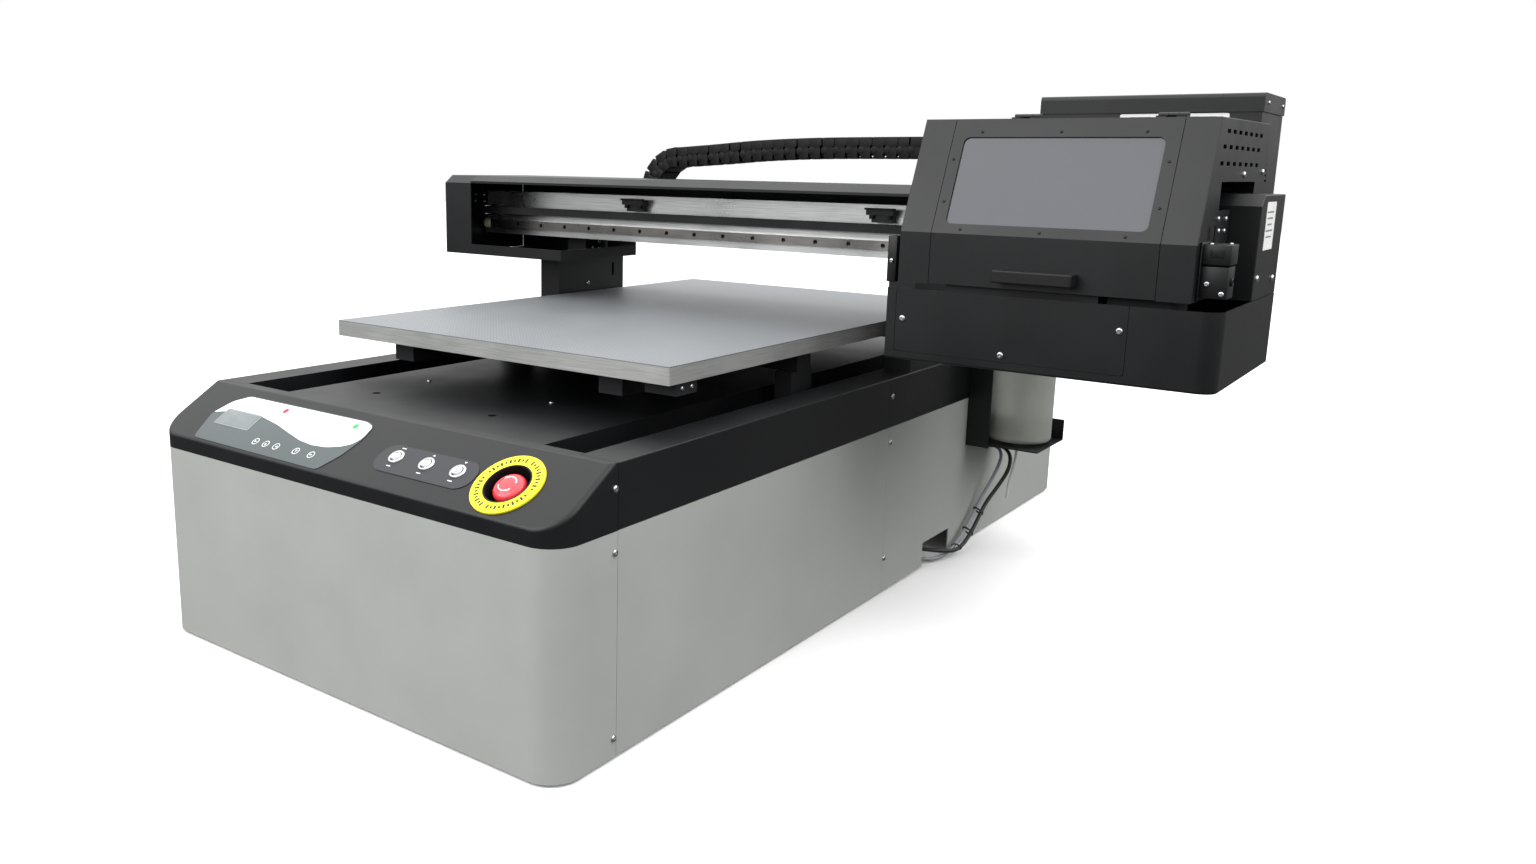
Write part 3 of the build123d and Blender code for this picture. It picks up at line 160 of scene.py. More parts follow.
def add_node(tree: bpy.types.NodeTree, kind: str, inputs: dict | None = None, **settings) -> bpy.types.Node:
    """Adds one node with its settings and links.

    Args:
        tree: The material's node tree.
        kind: The node's type name.
        inputs: Values or output sockets for the node's inputs, by name.
        **settings: The node's own properties.

    Returns:
        The new node.
    """
    made = tree.nodes.new(kind)
    for key, value in settings.items():
        setattr(made, key, value)
    for name, value in (inputs or {}).items():
        if isinstance(value, bpy.types.NodeSocket):
            tree.links.new(value, made.inputs[name])
        else:
            made.inputs[name].default_value = value
    return made


@dataclass(frozen=True)
class Finish:
    """A material: what it is, its two colours, and the grain that its making left."""

    title: str
    slot: str
    colour: str
    drift: str
    roughness: float
    grain: Grain = Grain.MOULDED
    metallic: float = 0.0
    ior: float = 1.5
    specular: float = 0.5
    grain_mm: float = 1.2
    depth_mm: float = 0.03
    drift_mm: float = 160.0
    stretch: Spot = (1.0, 1.0, 1.0)
    coat: float = 0.0
    clear: float = 0.0
    glow: float = 0.0

    def material(self) -> bpy.types.Material:
        """The Blender material, made once."""
        known = bpy.data.materials.get(self.title)
        if known:
            return known
        made = bpy.data.materials.new(self.title)
        made.use_nodes = True
        tree = made.node_tree
        shader = tree.nodes["Principled BSDF"]
        spots = add_node(tree, "ShaderNodeTexCoord").outputs["Object"]
        shift = add_node(tree, "ShaderNodeTexNoise", {"Vector": spots, "Scale": 1 / (self.drift_mm * MM),
                                                      "Detail": 4.0, "Roughness": 0.6})
        blend = add_node(tree, "ShaderNodeValToRGB", {"Fac": shift.outputs["Fac"]})
        blend.color_ramp.elements[0].position = 0.3
        blend.color_ramp.elements[0].color = linear(self.drift)
        blend.color_ramp.elements[1].position = 0.7
        blend.color_ramp.elements[1].color = linear(self.colour)
        stretched = add_node(tree, "ShaderNodeMapping", {"Vector": spots, "Scale": self.stretch})
        fine = add_node(tree, "ShaderNodeTexNoise", {"Vector": stretched.outputs["Vector"],
                                                     "Scale": 1 / (self.grain_mm * MM), "Detail": 3.0})
        height, paint = fine.outputs["Fac"], blend.outputs["Color"]
        if self.grain is Grain.PUNCHED:
            height, paint = self._holes(tree, spots, height, paint)
        if self.grain is Grain.BRUSHED:
            paint = self._streaks(tree, fine.outputs["Fac"], paint)
        bump = add_node(tree, "ShaderNodeBump", {"Height": height, "Strength": 0.6,
                                                 "Distance": self.depth_mm * MM})
        rough = add_node(tree, "ShaderNodeMapRange", {
            "Value": shift.outputs["Fac"], "From Min": 0.3, "From Max": 0.7,
            "To Min": max(0.02, self.roughness - 0.05), "To Max": min(1.0, self.roughness + 0.05)})
        tree.links.new(paint, shader.inputs["Base Color"])
        tree.links.new(bump.outputs["Normal"], shader.inputs["Normal"])
        tree.links.new(rough.outputs["Result"], shader.inputs["Roughness"])
        shader.inputs["Metallic"].default_value = self.metallic
        shader.inputs["IOR"].default_value = self.ior
        shader.inputs["Specular IOR Level"].default_value = self.specular
        shader.inputs["Coat Weight"].default_value = self.coat
        shader.inputs["Transmission Weight"].default_value = self.clear
        if self.glow:
            shader.inputs["Emission Color"].default_value = linear(self.colour)
            shader.inputs["Emission Strength"].default_value = self.glow
        return made

    def _streaks(self, tree: bpy.types.NodeTree, fine: bpy.types.NodeSocket,
                 paint: bpy.types.NodeSocket) -> bpy.types.NodeSocket:
        """Darkens the paint a little along the brush lines."""
        lines = add_node(tree, "ShaderNodeMapRange", {"Value": fine, "From Min": 0.3, "From Max": 0.7,
                                                      "To Min": 0.8, "To Max": 1.08})
        shaded = add_node(tree, "ShaderNodeVectorMath", {0: paint, "Scale": lines.outputs["Result"]},
                          operation="SCALE")
        return shaded.outputs["Vector"]

    def _holes(self, tree: bpy.types.NodeTree, spots: bpy.types.NodeSocket, height: bpy.types.NodeSocket,
               paint: bpy.types.NodeSocket) -> tuple[bpy.types.NodeSocket, bpy.types.NodeSocket]:
        """Punches a square grid of small holes: painted shade darkens the paint inside each hole, and the
        bump dips there.

        Args:
            tree: The material's node tree.
            spots: Object coordinates.
            height: The bump's height so far.
            paint: The colour so far.

        Returns:
            The height with the holes dipped, and the colour with painted shade in the holes.
        """
        pitch, radius = 6.0, 0.75       # coarse enough to show
        per_metre = 1 / (pitch * MM)
        cells = add_node(tree, "ShaderNodeVectorMath", {0: spots, 1: (per_metre, per_metre, 0)},
                         operation="MULTIPLY")
        inside = add_node(tree, "ShaderNodeVectorMath", {0: cells.outputs["Vector"]}, operation="FRACTION")
        centred = add_node(tree, "ShaderNodeVectorMath", {0: inside.outputs["Vector"], 1: (0.5, 0.5, 0)},
                           operation="SUBTRACT")
        reach = add_node(tree, "ShaderNodeVectorMath", {0: centred.outputs["Vector"]}, operation="LENGTH")
        # 1 on the sheet and 0.35 in each hole: sets the painted shade of the holes and the depth of their
        #                                       bump
        hole_shade_and_depth = add_node(tree, "ShaderNodeMapRange", {
            "Value": reach.outputs["Value"], "From Min": radius / pitch, "From Max": 1.5 * radius / pitch,
            "To Min": 0.35, "To Max": 1.0}).outputs["Result"]
        # painted shade: the paint falls to 0.35 of its colour inside each hole
        shaded = add_node(tree, "ShaderNodeVectorMath", {0: paint, "Scale": hole_shade_and_depth}, operation="SCALE")
        deep = add_node(tree, "ShaderNodeMath", {0: height, 1: hole_shade_and_depth}, operation="MULTIPLY")
        return deep.outputs["Value"], shaded.outputs["Vector"]


# Polyester powder coat on steel: a soft sheen broken by a fine orange peel.
GREY_COAT = Finish("light_grey_powder_coat", "grey_steel", "#A9ACA8", "#A2A5A1", 0.48, Grain.SPRAYED,
                   specular=0.4, grain_mm=1.6, depth_mm=0.02)
BLACK_COAT = Finish("satin_black_powder_coat", "black_steel", "#121315", "#0F1012", 0.4, Grain.SPRAYED,
                    specular=0.36, grain_mm=1.3)
# Enamel over hot-rolled tube, rougher than the covers.
CHASSIS_COAT = Finish("black_chassis_enamel", "chassis_steel", "#202124", "#151618", 0.6, Grain.SPRAYED,
                      specular=0.3, grain_mm=3.0, depth_mm=0.06)
# Milled aluminium plate: long cutter lines along the edges.
MILLED_ALUMINIUM = Finish("milled_aluminium", "table_aluminium", "#C4C5C3", "#B0B2B0", 0.42, Grain.BRUSHED,
                          metallic=0.6, grain_mm=1.4, depth_mm=0.02, stretch=(0.03, 0.03, 1.0))
# Perforated sheet: _holes paints shade into its holes and dips the bump there.
PUNCHED_SHEET = Finish("perforated_anodised_sheet", "perforated_sheet", "#838689", "#7B7E81", 0.45,
                       Grain.PUNCHED, metallic=0.2, grain_mm=0.8, depth_mm=0.05, drift_mm=260)
DRAWN_ALUMINIUM = Finish("anodised_aluminium_profile", "profile_aluminium", "#E8E9E9", "#D8D9D9", 0.3,
                         Grain.BRUSHED, metallic=1.0, grain_mm=1.0, depth_mm=0.015,
                         stretch=(0.02, 1.0, 1.0))
GROUND_STEEL = Finish("ground_bearing_steel", "rail_steel", "#9C9A97", "#858381", 0.28, Grain.BRUSHED,
                      metallic=1.0, grain_mm=0.8, depth_mm=0.01, stretch=(0.02, 1.0, 1.0))
ZINC = Finish("zinc_plated_steel", "zinc_steel", "#D4D5D6", "#B9BBBD", 0.25, Grain.BRUSHED, metallic=1.0,
              grain_mm=0.5, depth_mm=0.01, drift_mm=12)
NICKEL = Finish("brushed_nickel", "nickel", "#DCDDDD", "#C2C4C5", 0.22, Grain.BRUSHED, metallic=1.0,
                grain_mm=0.4, depth_mm=0.008, drift_mm=10)
BLACK_ABS = Finish("moulded_black_abs", "black_plastic", "#111113", "#161618", 0.5, specular=0.3,
                   grain_mm=0.6)
CHAIN_NYLON = Finish("glass_filled_nylon", "chain_plastic", "#0C0C0D", "#111112", 0.5, specular=0.2,
                     grain_mm=0.7, drift_mm=30)
OVERLAY_DARK = Finish("printed_polyester_grey", "overlay_film", "#474F50", "#424A4B", 0.35, Grain.PRINTED,
                      grain_mm=0.5, depth_mm=0.006)
OVERLAY_WHITE = Finish("printed_polyester_white", "overlay_film", "#EDF5F6", "#E7EFF1", 0.33, Grain.PRINTED,
                       grain_mm=0.5, depth_mm=0.006)
PRINT_GREY = Finish("screen_printed_grey", "overlay_film", "#858C8E", "#7A8183", 0.4, Grain.PRINTED,
                    grain_mm=0.4, depth_mm=0.004, drift_mm=8)
PRINT_WHITE = Finish("screen_printed_white", "overlay_film", "#E8EAEA", "#DADDDD", 0.4, Grain.PRINTED,
                     grain_mm=0.4, depth_mm=0.004, drift_mm=8)
PRINT_BLACK = Finish("screen_printed_black", "inlay_film", "#1A1A12", "#26261A", 0.45, Grain.PRINTED,
                     grain_mm=0.4, depth_mm=0.004, drift_mm=8)
INLAY_FILM = Finish("textured_charcoal_film", "inlay_film", "#2D2E32", "#28292D", 0.45, Grain.PRINTED,
                    specular=0.4, grain_mm=0.6, depth_mm=0.02)
LCD_GLASS = Finish("idle_lcd_glass", "overlay_film", "#6F7778", "#5D6566", 0.2, Grain.PRINTED, grain_mm=0.9,
                   depth_mm=0.002, drift_mm=40, coat=0.4)
RED_LENS = Finish("red_led_lens", "red_plastic", "#B01E38", "#9E1830", 0.25, grain_mm=0.3, depth_mm=0.004,
                  drift_mm=6, glow=0.15)
GREEN_LENS = Finish("green_led_lens", "overlay_film", "#1FB04E", "#189A42", 0.25, grain_mm=0.3,
                    depth_mm=0.004, drift_mm=6, glow=0.15)
YELLOW_PLATE = Finish("yellow_printed_plate", "yellow_plastic", "#F2E611", "#E9DB0C", 0.35, Grain.PRINTED,
                      grain_mm=0.5, depth_mm=0.006, drift_mm=50)
RED_ABS = Finish("glossy_red_abs", "red_plastic", "#F0404A", "#E33640", 0.25, grain_mm=0.5, depth_mm=0.006,
                 drift_mm=30, coat=0.3)
SMOKED_ACRYLIC = Finish("smoked_acrylic", "smoked_glass", "#3A3D45", "#34373F", 0.16, ior=1.49,
                        grain_mm=2.5, depth_mm=0.002, drift_mm=220, clear=0.12)
BOTTLE_PE = Finish("translucent_polyethylene", "bottle_plastic", "#B9BBB5", "#A9ABA5", 0.38, depth_mm=0.02,
                   drift_mm=70, clear=0.35)
CABLE_PVC = Finish("black_pvc_jacket", "cable_jacket", "#1A1A1C", "#222224", 0.45, grain_mm=0.8,
                   depth_mm=0.02, drift_mm=40)
TUBE_GREY = Finish("grey_polyurethane_tube", "grey_tube", "#8E9498", "#7F858A", 0.3, grain_mm=0.8,
                   depth_mm=0.01, drift_mm=40)
TUBE_CLEAR = Finish("milky_silicone_tube", "clear_tube", "#D8D9D3", "#C6C8C1", 0.35, grain_mm=0.8,
                    depth_mm=0.01, drift_mm=30, clear=0.3)
BELT = Finish("neoprene_belt", "belt_rubber", "#151516", "#1D1D1F", 0.7, grain_mm=0.5, depth_mm=0.05)
SILICONE = Finish("black_silicone", "cap_silicone", "#242426", "#1C1C1E", 0.5, grain_mm=0.6, depth_mm=0.02)
FOOT_RUBBER = Finish("black_foot_rubber", "foot_rubber", "#18181A", "#202022", 0.75, grain_mm=0.9,
                     depth_mm=0.05)
URETHANE = Finish("pale_urethane", "clear_tube", "#D9D6B4", "#CBC8A4", 0.4, grain_mm=0.8, depth_mm=0.02,
                  drift_mm=20)
LABEL_PAPER = Finish("coated_label_paper", "overlay_film", "#ECECEA", "#E2E2E0", 0.5, Grain.PRINTED,
                     grain_mm=0.4, depth_mm=0.005, drift_mm=30)

SLOT_FINISHES = {finish.slot: finish for finish in (
    GREY_COAT, BLACK_COAT, CHASSIS_COAT, MILLED_ALUMINIUM, PUNCHED_SHEET, DRAWN_ALUMINIUM, GROUND_STEEL,
    ZINC, NICKEL, BLACK_ABS, CHAIN_NYLON, OVERLAY_WHITE, INLAY_FILM, YELLOW_PLATE, RED_ABS,
    SMOKED_ACRYLIC, BOTTLE_PE, CABLE_PVC, TUBE_GREY, TUBE_CLEAR, BELT, SILICONE, FOOT_RUBBER)}


# ---------------------------------------------------------------- mesh making
def polar(radius: float, angle: float) -> Point:
    """The point at a radius and an angle in radians."""
    return radius * math.cos(angle), radius * math.sin(angle)


class Piece:
    """One visible piece while its mesh is being made, in millimetres under a matrix."""

    def __init__(self, name: str, finish: Finish, body: str) -> None:
        """Starts an empty piece that will ride on the body."""
        self.name = name
        self.finish = finish
        self.body = body
        self.mesh = bmesh.new()

    def box(self, low: Spot, high: Spot, matrix: Matrix = STATIONS) -> "Piece":
        """Adds a box between two corners."""
        middle = (Vector(low) + Vector(high)) / 2
        size = Vector(high) - Vector(low)
        shape = Matrix.Translation(middle) @ Matrix.Diagonal((*size, 1.0))
        bmesh.ops.create_cube(self.mesh, size=1.0, matrix=matrix @ shape)
        return self

    def lathe(self, profile: Sequence[Point], matrix: Matrix, segments: int = 32,
              hexagon: float = 0.0) -> "Piece":
        """Adds a turned shape.

        Args:
            profile: Radius and height of each ring; a radius of 0 closes an end.
            matrix: Where the axis stands, with z along it.
            segments: Steps round the axis.
            hexagon: Rings at or under this radius are six-sided, for a key socket.

        Returns:
            The piece itself.
        """
        rings = []
        for radius, height in profile:
            if radius == 0:
                rings.append([self.mesh.verts.new(matrix @ Vector((0, 0, height)))])
                continue
            ring = []
            for step in range(segments):
                angle = 2 * math.pi * step / segments
                reach = radius
                if radius <= hexagon:
                    reach = radius * math.cos(math.pi / 6) / math.cos(angle % (math.pi / 3) - math.pi / 6)
                ring.append(self.mesh.verts.new(matrix @ Vector((*polar(reach, angle), height))))
            rings.append(ring)
        for first, second in zip(rings, rings[1:]):
            for step in range(segments):
                after = (step + 1) % segments
                corners = [first[step % len(first)], first[after % len(first)],
                           second[after % len(second)], second[step % len(second)]]
                unique = list(dict.fromkeys(corners))
                if len(unique) > 2:
                    self.mesh.faces.new(unique)
        return self

    def slab(self, outline: Sequence[Point], low: float, high: float, matrix: Matrix) -> "Piece":
        """Adds a flat plate of an outline between two heights."""
        bottom = [self.mesh.verts.new(matrix @ Vector((x, y, low))) for x, y in outline]
        top = [self.mesh.verts.new(matrix @ Vector((x, y, high))) for x, y in outline]
        self.mesh.faces.new(list(reversed(bottom)))
        self.mesh.faces.new(top)
        for i, _ in enumerate(outline):
            j = (i + 1) % len(outline)
            self.mesh.faces.new((bottom[i], bottom[j], top[j], top[i]))
        return self

    def hoop(self, centre: Vector, first: Vector, second: Vector, wire: float, segments: int = 40) -> "Piece":
        """Adds a closed flat loop of band with half-axes first and second, in metres."""
        normal = first.cross(second).normalized()
        rings = []
        for step in range(segments):
            angle = 2 * math.pi * step / segments
            out = first * math.cos(angle) + second * math.sin(angle)
            spot, aim = centre + out, out.normalized()
            rings.append([self.mesh.verts.new(spot + aim * wire * a + normal * wire * b)
                          for a, b in ((0.4, 1), (0.4, -1), (-0.4, -1), (-0.4, 1))])
        for step, ring in enumerate(rings):
            after = rings[(step + 1) % segments]
            for i in range(4):
                self.mesh.faces.new((ring[i], ring[(i + 1) % 4], after[(i + 1) % 4], after[i]))
        return self

    def done(self, bevel: float = 0.0, ride: bool = True) -> bpy.types.Object:
        """Turns the mesh into a finished object.

        Args:
            bevel: Width in millimetres of the rounding on every sharp edge.
            ride: Whether it rides on the body; the chain runs don't.

        Returns:
            The object.
        """
        bmesh.ops.recalc_face_normals(self.mesh, faces=self.mesh.faces)
        data = bpy.data.meshes.new(self.name)
        self.mesh.to_mesh(data)
        self.mesh.free()
        made = bpy.data.objects.new(self.name, data)
        bpy.context.scene.collection.objects.link(made)
        if bevel:
            round_off = made.modifiers.new("edges", "BEVEL")
            round_off.width = bevel * MM
            round_off.segments = 2
            round_off.limit_method = "ANGLE"
            round_off.angle_limit = math.radians(40)
            graph = bpy.context.evaluated_depsgraph_get()
            rounded_mesh = bpy.data.meshes.new_from_object(made.evaluated_get(graph))
            made.modifiers.clear()
            made.data = rounded_mesh
        made.data.shade_smooth()
        made.data.set_sharp_from_angle(angle=math.radians(38))
        made.data.materials.clear()
        made.data.materials.append(self.finish.material())
        if ride:
            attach(made, self.body)
        LOG.info("%s: %d faces", self.name, len(made.data.polygons))
        return made


def rounded(points: Sequence[Point], radius: float, steps: int = 6) -> list[Point]:
    """An outline with each corner turned into a small curve.

    Args:
        points: The outline's corners.
        radius: How far from the corner the curve starts.
        steps: Points on each curve, less one.

    Returns:
        The outline with the curves in place.
    """
    outline = []
    for i, corner in enumerate(points):
        here = Vector(corner)
        before, after = Vector(points[i - 1]) - here, Vector(points[(i + 1) % len(points)]) - here
        start = here + before.normalized() * min(radius, before.length * 0.45)
        end = here + after.normalized() * min(radius, after.length * 0.45)
        for step in range(steps + 1):
            t = step / steps
            spot = start * (1 - t) ** 2 + here * 2 * t * (1 - t) + end * t ** 2
            outline.append((spot.x, spot.y))
    return outline


def rectangle(width: float, height: float, radius: float) -> list[Point]:
    """A rounded rectangle about the middle."""
    w, h = width / 2, height / 2
    return rounded([(-w, -h), (w, -h), (w, h), (-w, h)], radius)


def screws(name: str, face: Face, spots: Iterable[Point], body: str, radius: float = 4.6,
           finish: Finish = ZINC) -> bpy.types.Object:
    """A group of button-head screws with hexagon sockets on one face."""
    height = radius * 0.58
    dome = ((0, 0), (1, 0), (1, 0.25), (0.9, 0.65), (0.68, 0.92), (0.52, 1), (0.46, 1), (0.45, 0.35),
            (0, 0.3))
    profile = [(r * radius, h * height) for r, h in dome]
    piece = Piece(name, finish, body)
    for index, (s, t) in enumerate(spots):
        piece.lathe(profile, face.place(s, t, 0.0, 37.0 * index), 36, hexagon=0.47 * radius)
    return piece.done()


def ring_profile(inner: float, outer: float, low: float, high: float) -> tuple[Point, ...]:
    """A flat ring's profile, closed round its section."""
    return (inner, low), (outer, low), (outer, high), (inner, high), (inner, low)


# ---------------------------------------------------------------- sub-assemblies
@dataclass
class Studio:
    """The floor, the soft lights and the camera."""

    camera_spot: Spot = (1528.1, -863.2, 676.4)
    yaw: float = -36.66
    pitch: float = -11.25
    roll: float = 0.95
    lens: float = 27.2
    shift: Point = (0.0712, -0.0232)
    low_sky: float = 0.45
    high_sky: float = 2.0
    under_sky: float = 0.14

    def build(self) -> None:
        """Makes the camera, the floor, the world and the lights."""
        self._camera()
        self._floor()
        self._lights()

    def _camera(self) -> None:
        """Stands the camera at three quarters from the front right."""
        yaw, pitch, roll = (math.radians(a) for a in (self.yaw, self.pitch, self.roll))
        ahead = Vector((math.sin(yaw) * math.cos(pitch), math.cos(yaw) * math.cos(pitch), math.sin(pitch)))
        right = Vector((math.cos(yaw), -math.sin(yaw), 0))
        up = right.cross(ahead)
        turned_right = right * math.cos(roll) + up * math.sin(roll)
        turned_up = up * math.cos(roll) - right * math.sin(roll)
        lens = bpy.data.cameras.new("camera")
        lens.sensor_width = 36.0
        lens.lens = self.lens
        lens.shift_x, lens.shift_y = self.shift
        camera = bpy.data.objects.new("camera", lens)
        camera.matrix_world = (Matrix.Translation(at(*self.camera_spot)) @
                               Matrix((turned_right, turned_up, -ahead)).transposed().to_4x4())
        bpy.context.scene.collection.objects.link(camera)
        bpy.context.scene.camera = camera

    def _floor(self) -> None:
        """Lays a wide pale floor."""
        data = bpy.data.meshes.new("floor")
        half = 14.0
        corners = [(-half, -half, 0), (half, -half, 0), (half, half, 0), (-half, half, 0)]
        data.from_pydata(corners, [], [(0, 1, 2, 3)])
        floor = bpy.data.objects.new("floor", data)
        bpy.context.scene.collection.objects.link(floor)
        paint = bpy.data.materials.new("pale_floor")
        paint.use_nodes = True
        shader = paint.node_tree.nodes["Principled BSDF"]
        shader.inputs["Base Color"].default_value = linear("#F6F6F6")
        shader.inputs["Roughness"].default_value = 0.85
        shader.inputs["Specular IOR Level"].default_value = 0.2
        data.materials.append(paint)
        floor.visible_glossy = False
        floor.visible_diffuse = False

    def _lights(self) -> None:
        """Hangs three wide soft lights in a white room that is brighter above than below."""
        scene = bpy.context.scene
        scene.view_settings.view_transform = "Standard"
        world = bpy.data.worlds.new("white_room")
        scene.world = world
        world.use_nodes = True
        back = world.node_tree.nodes["Background"]
        back.inputs["Color"].default_value = (1, 1, 1, 1)
        tree = world.node_tree
        ray = add_node(tree, "ShaderNodeTexCoord").outputs["Generated"]
        rise = add_node(tree, "ShaderNodeSeparateXYZ", {"Vector": ray}).outputs["Z"]
        sky = add_node(tree, "ShaderNodeValToRGB", {"Fac": rise})
        for stop, place, bright in zip(sky.color_ramp.elements, (0.0, 0.75), (self.low_sky, self.high_sky)):
            stop.position = place
            stop.color = (bright, bright, bright, 1)
        under = add_node(tree, "ShaderNodeMath", {0: rise, 1: 0.0}, operation="GREATER_THAN")
        part = add_node(tree, "ShaderNodeMapRange", {
            "Value": under.outputs["Value"], "To Min": self.under_sky / self.low_sky, "To Max": 1.0})
        lit = add_node(tree, "ShaderNodeMath", {0: sky.outputs["Color"], 1: part.outputs["Result"]},
                       operation="MULTIPLY")
        seen = add_node(tree, "ShaderNodeLightPath").outputs["Is Camera Ray"]
        strength = add_node(tree, "ShaderNodeMapRange", {"Value": seen, "To Min": lit.outputs["Value"],
                                                         "To Max": 1.0})
        tree.links.new(strength.outputs["Result"], back.inputs["Strength"])
        lights = (("key", (-700, -2300, 2300), 3.2, 90), ("fill", (2900, 900, 2100), 2.4, 36),
                  ("top", (380, 900, 2900), 2.4, 12))
        for name, spot, size, power in lights:
            lamp = bpy.data.lights.new(name, "AREA")
            lamp.size, lamp.energy = size, power
            light = bpy.data.objects.new(name, lamp)
            light.location = at(*spot)
            aim = at(500, 700, 350) - light.location
            light.rotation_euler = aim.to_track_quat("-Z", "Y").to_euler()
            scene.collection.objects.link(light)


@dataclass(frozen=True)
class CordRun:
    """One free cord at the base's right side."""

    node: str
    finish: Finish
    diameter: float
    length: float
    far_end: str
    stiffness: str
    route: tuple[Spot, ...]

    def build(self, with_pieces: Sequence[object]) -> bpy.types.Object:
        """Makes the cord as one smooth curve in its tube's place."""
        curve = bpy.data.curves.new(f"{self.node}_run", "CURVE")
        curve.dimensions = "3D"
        curve.bevel_depth = self.diameter / 2 * MM
        curve.bevel_resolution = 6
        curve.resolution_u = 10
        curve.use_fill_caps = True
        spline = curve.splines.new("NURBS")
        spline.points.add(len(self.route) - 1)
        for point, spot in zip(spline.points, self.route):
            point.co = (*at(*spot), 1.0)
        spline.order_u = 3
        spline.use_endpoint_u = True
        curve.materials.append(self.finish.material())
        made = bpy.data.objects.new(f"{self.node}_run", curve)
        bpy.context.scene.collection.objects.link(made)
        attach(made, "base")
        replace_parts(made, self.node)
        return made

    def spot_at(self, y: float) -> tuple[Vector, Vector]:
        """Where the cord passes station y, and its direction there, in metres."""
        for first, second in zip(self.route, self.route[1:]):
            if first[1] >= y >= second[1]:
                share = (first[1] - y) / (first[1] - second[1])
                start, end = at(*first), at(*second)
                return start.lerp(end, share), (end - start).normalized()
        raise ValueError(f"{self.node} doesn't pass y {y}")


@dataclass
class Cords:
    """The supply cable and the tubes beside it, with their cable ties."""

    cable: CordRun = CordRun("power_cable", CABLE_PVC, 7.0, 424.5, "object", "medium", (
        (757, 1230, 170), (781, 1230, 170), (799, 1224, 155), (800, 1213, 129), (789, 1195, 101),
        (777, 1171, 73), (776, 1141, 50), (777, 1106, 29), (777, 1070, 15), (776, 1036, 13),
        (769, 1007, 19), (746, 986, 21), (714, 976, 25), (682, 972, 28)))
    tube: CordRun = CordRun("ink_tube", TUBE_GREY, 6.0, 411.3, "object", "limp", (
        (757, 1214, 172), (774, 1214, 172), (786, 1209, 161), (787, 1199, 142), (778, 1182, 109),
        (768, 1160, 76), (767, 1130, 52), (767, 1095, 31), (767, 1058, 16), (766, 1020, 8),
        (759, 986, 7), (738, 964, 9), (708, 956, 12), (682, 953, 13)))
    drain: CordRun = CordRun("drain_tube", TUBE_CLEAR, 5.0, 108.2, "bare", "limp", (
        (811, 1216, 186), (811, 1216, 167), (810, 1212, 146), (808, 1205, 122), (807, 1196, 100),
        (808, 1190, 82)))
    tie_ys: tuple[float, ...] = (1150.0, 1105.0, 1055.0)

    def build(self) -> None:
        """Makes the three cords, their sleeves and the ties."""
        sleeve = Piece("cable_sleeve", BLACK_ABS, "base")
        sleeve.lathe(((3.6, 0), (6.3, 0), (6.3, 3), (5.2, 5), (4.4, 14), (3.6, 14), (3.6, 0)),
                     facing_right(757.2).place(1230, 170), 28)
        ties = Piece("cable_ties", BLACK_ABS, "base")
        for y in self.tie_ys:
            (first, along), (second, _) = self.cable.spot_at(y), self.tube.spot_at(y)
            gap = second - first
            gap -= along * gap.dot(along)
            long_axis = gap.normalized() * (gap.length / 2 + 4.4 * MM)
            short_axis = along.cross(gap).normalized() * 4.4 * MM
            ties.hoop(first + gap / 2, long_axis, short_axis, 1.6 * MM)
        self.cable.build([sleeve.done(), ties.done()])
        self.tube.build([])
        self.drain.build([])


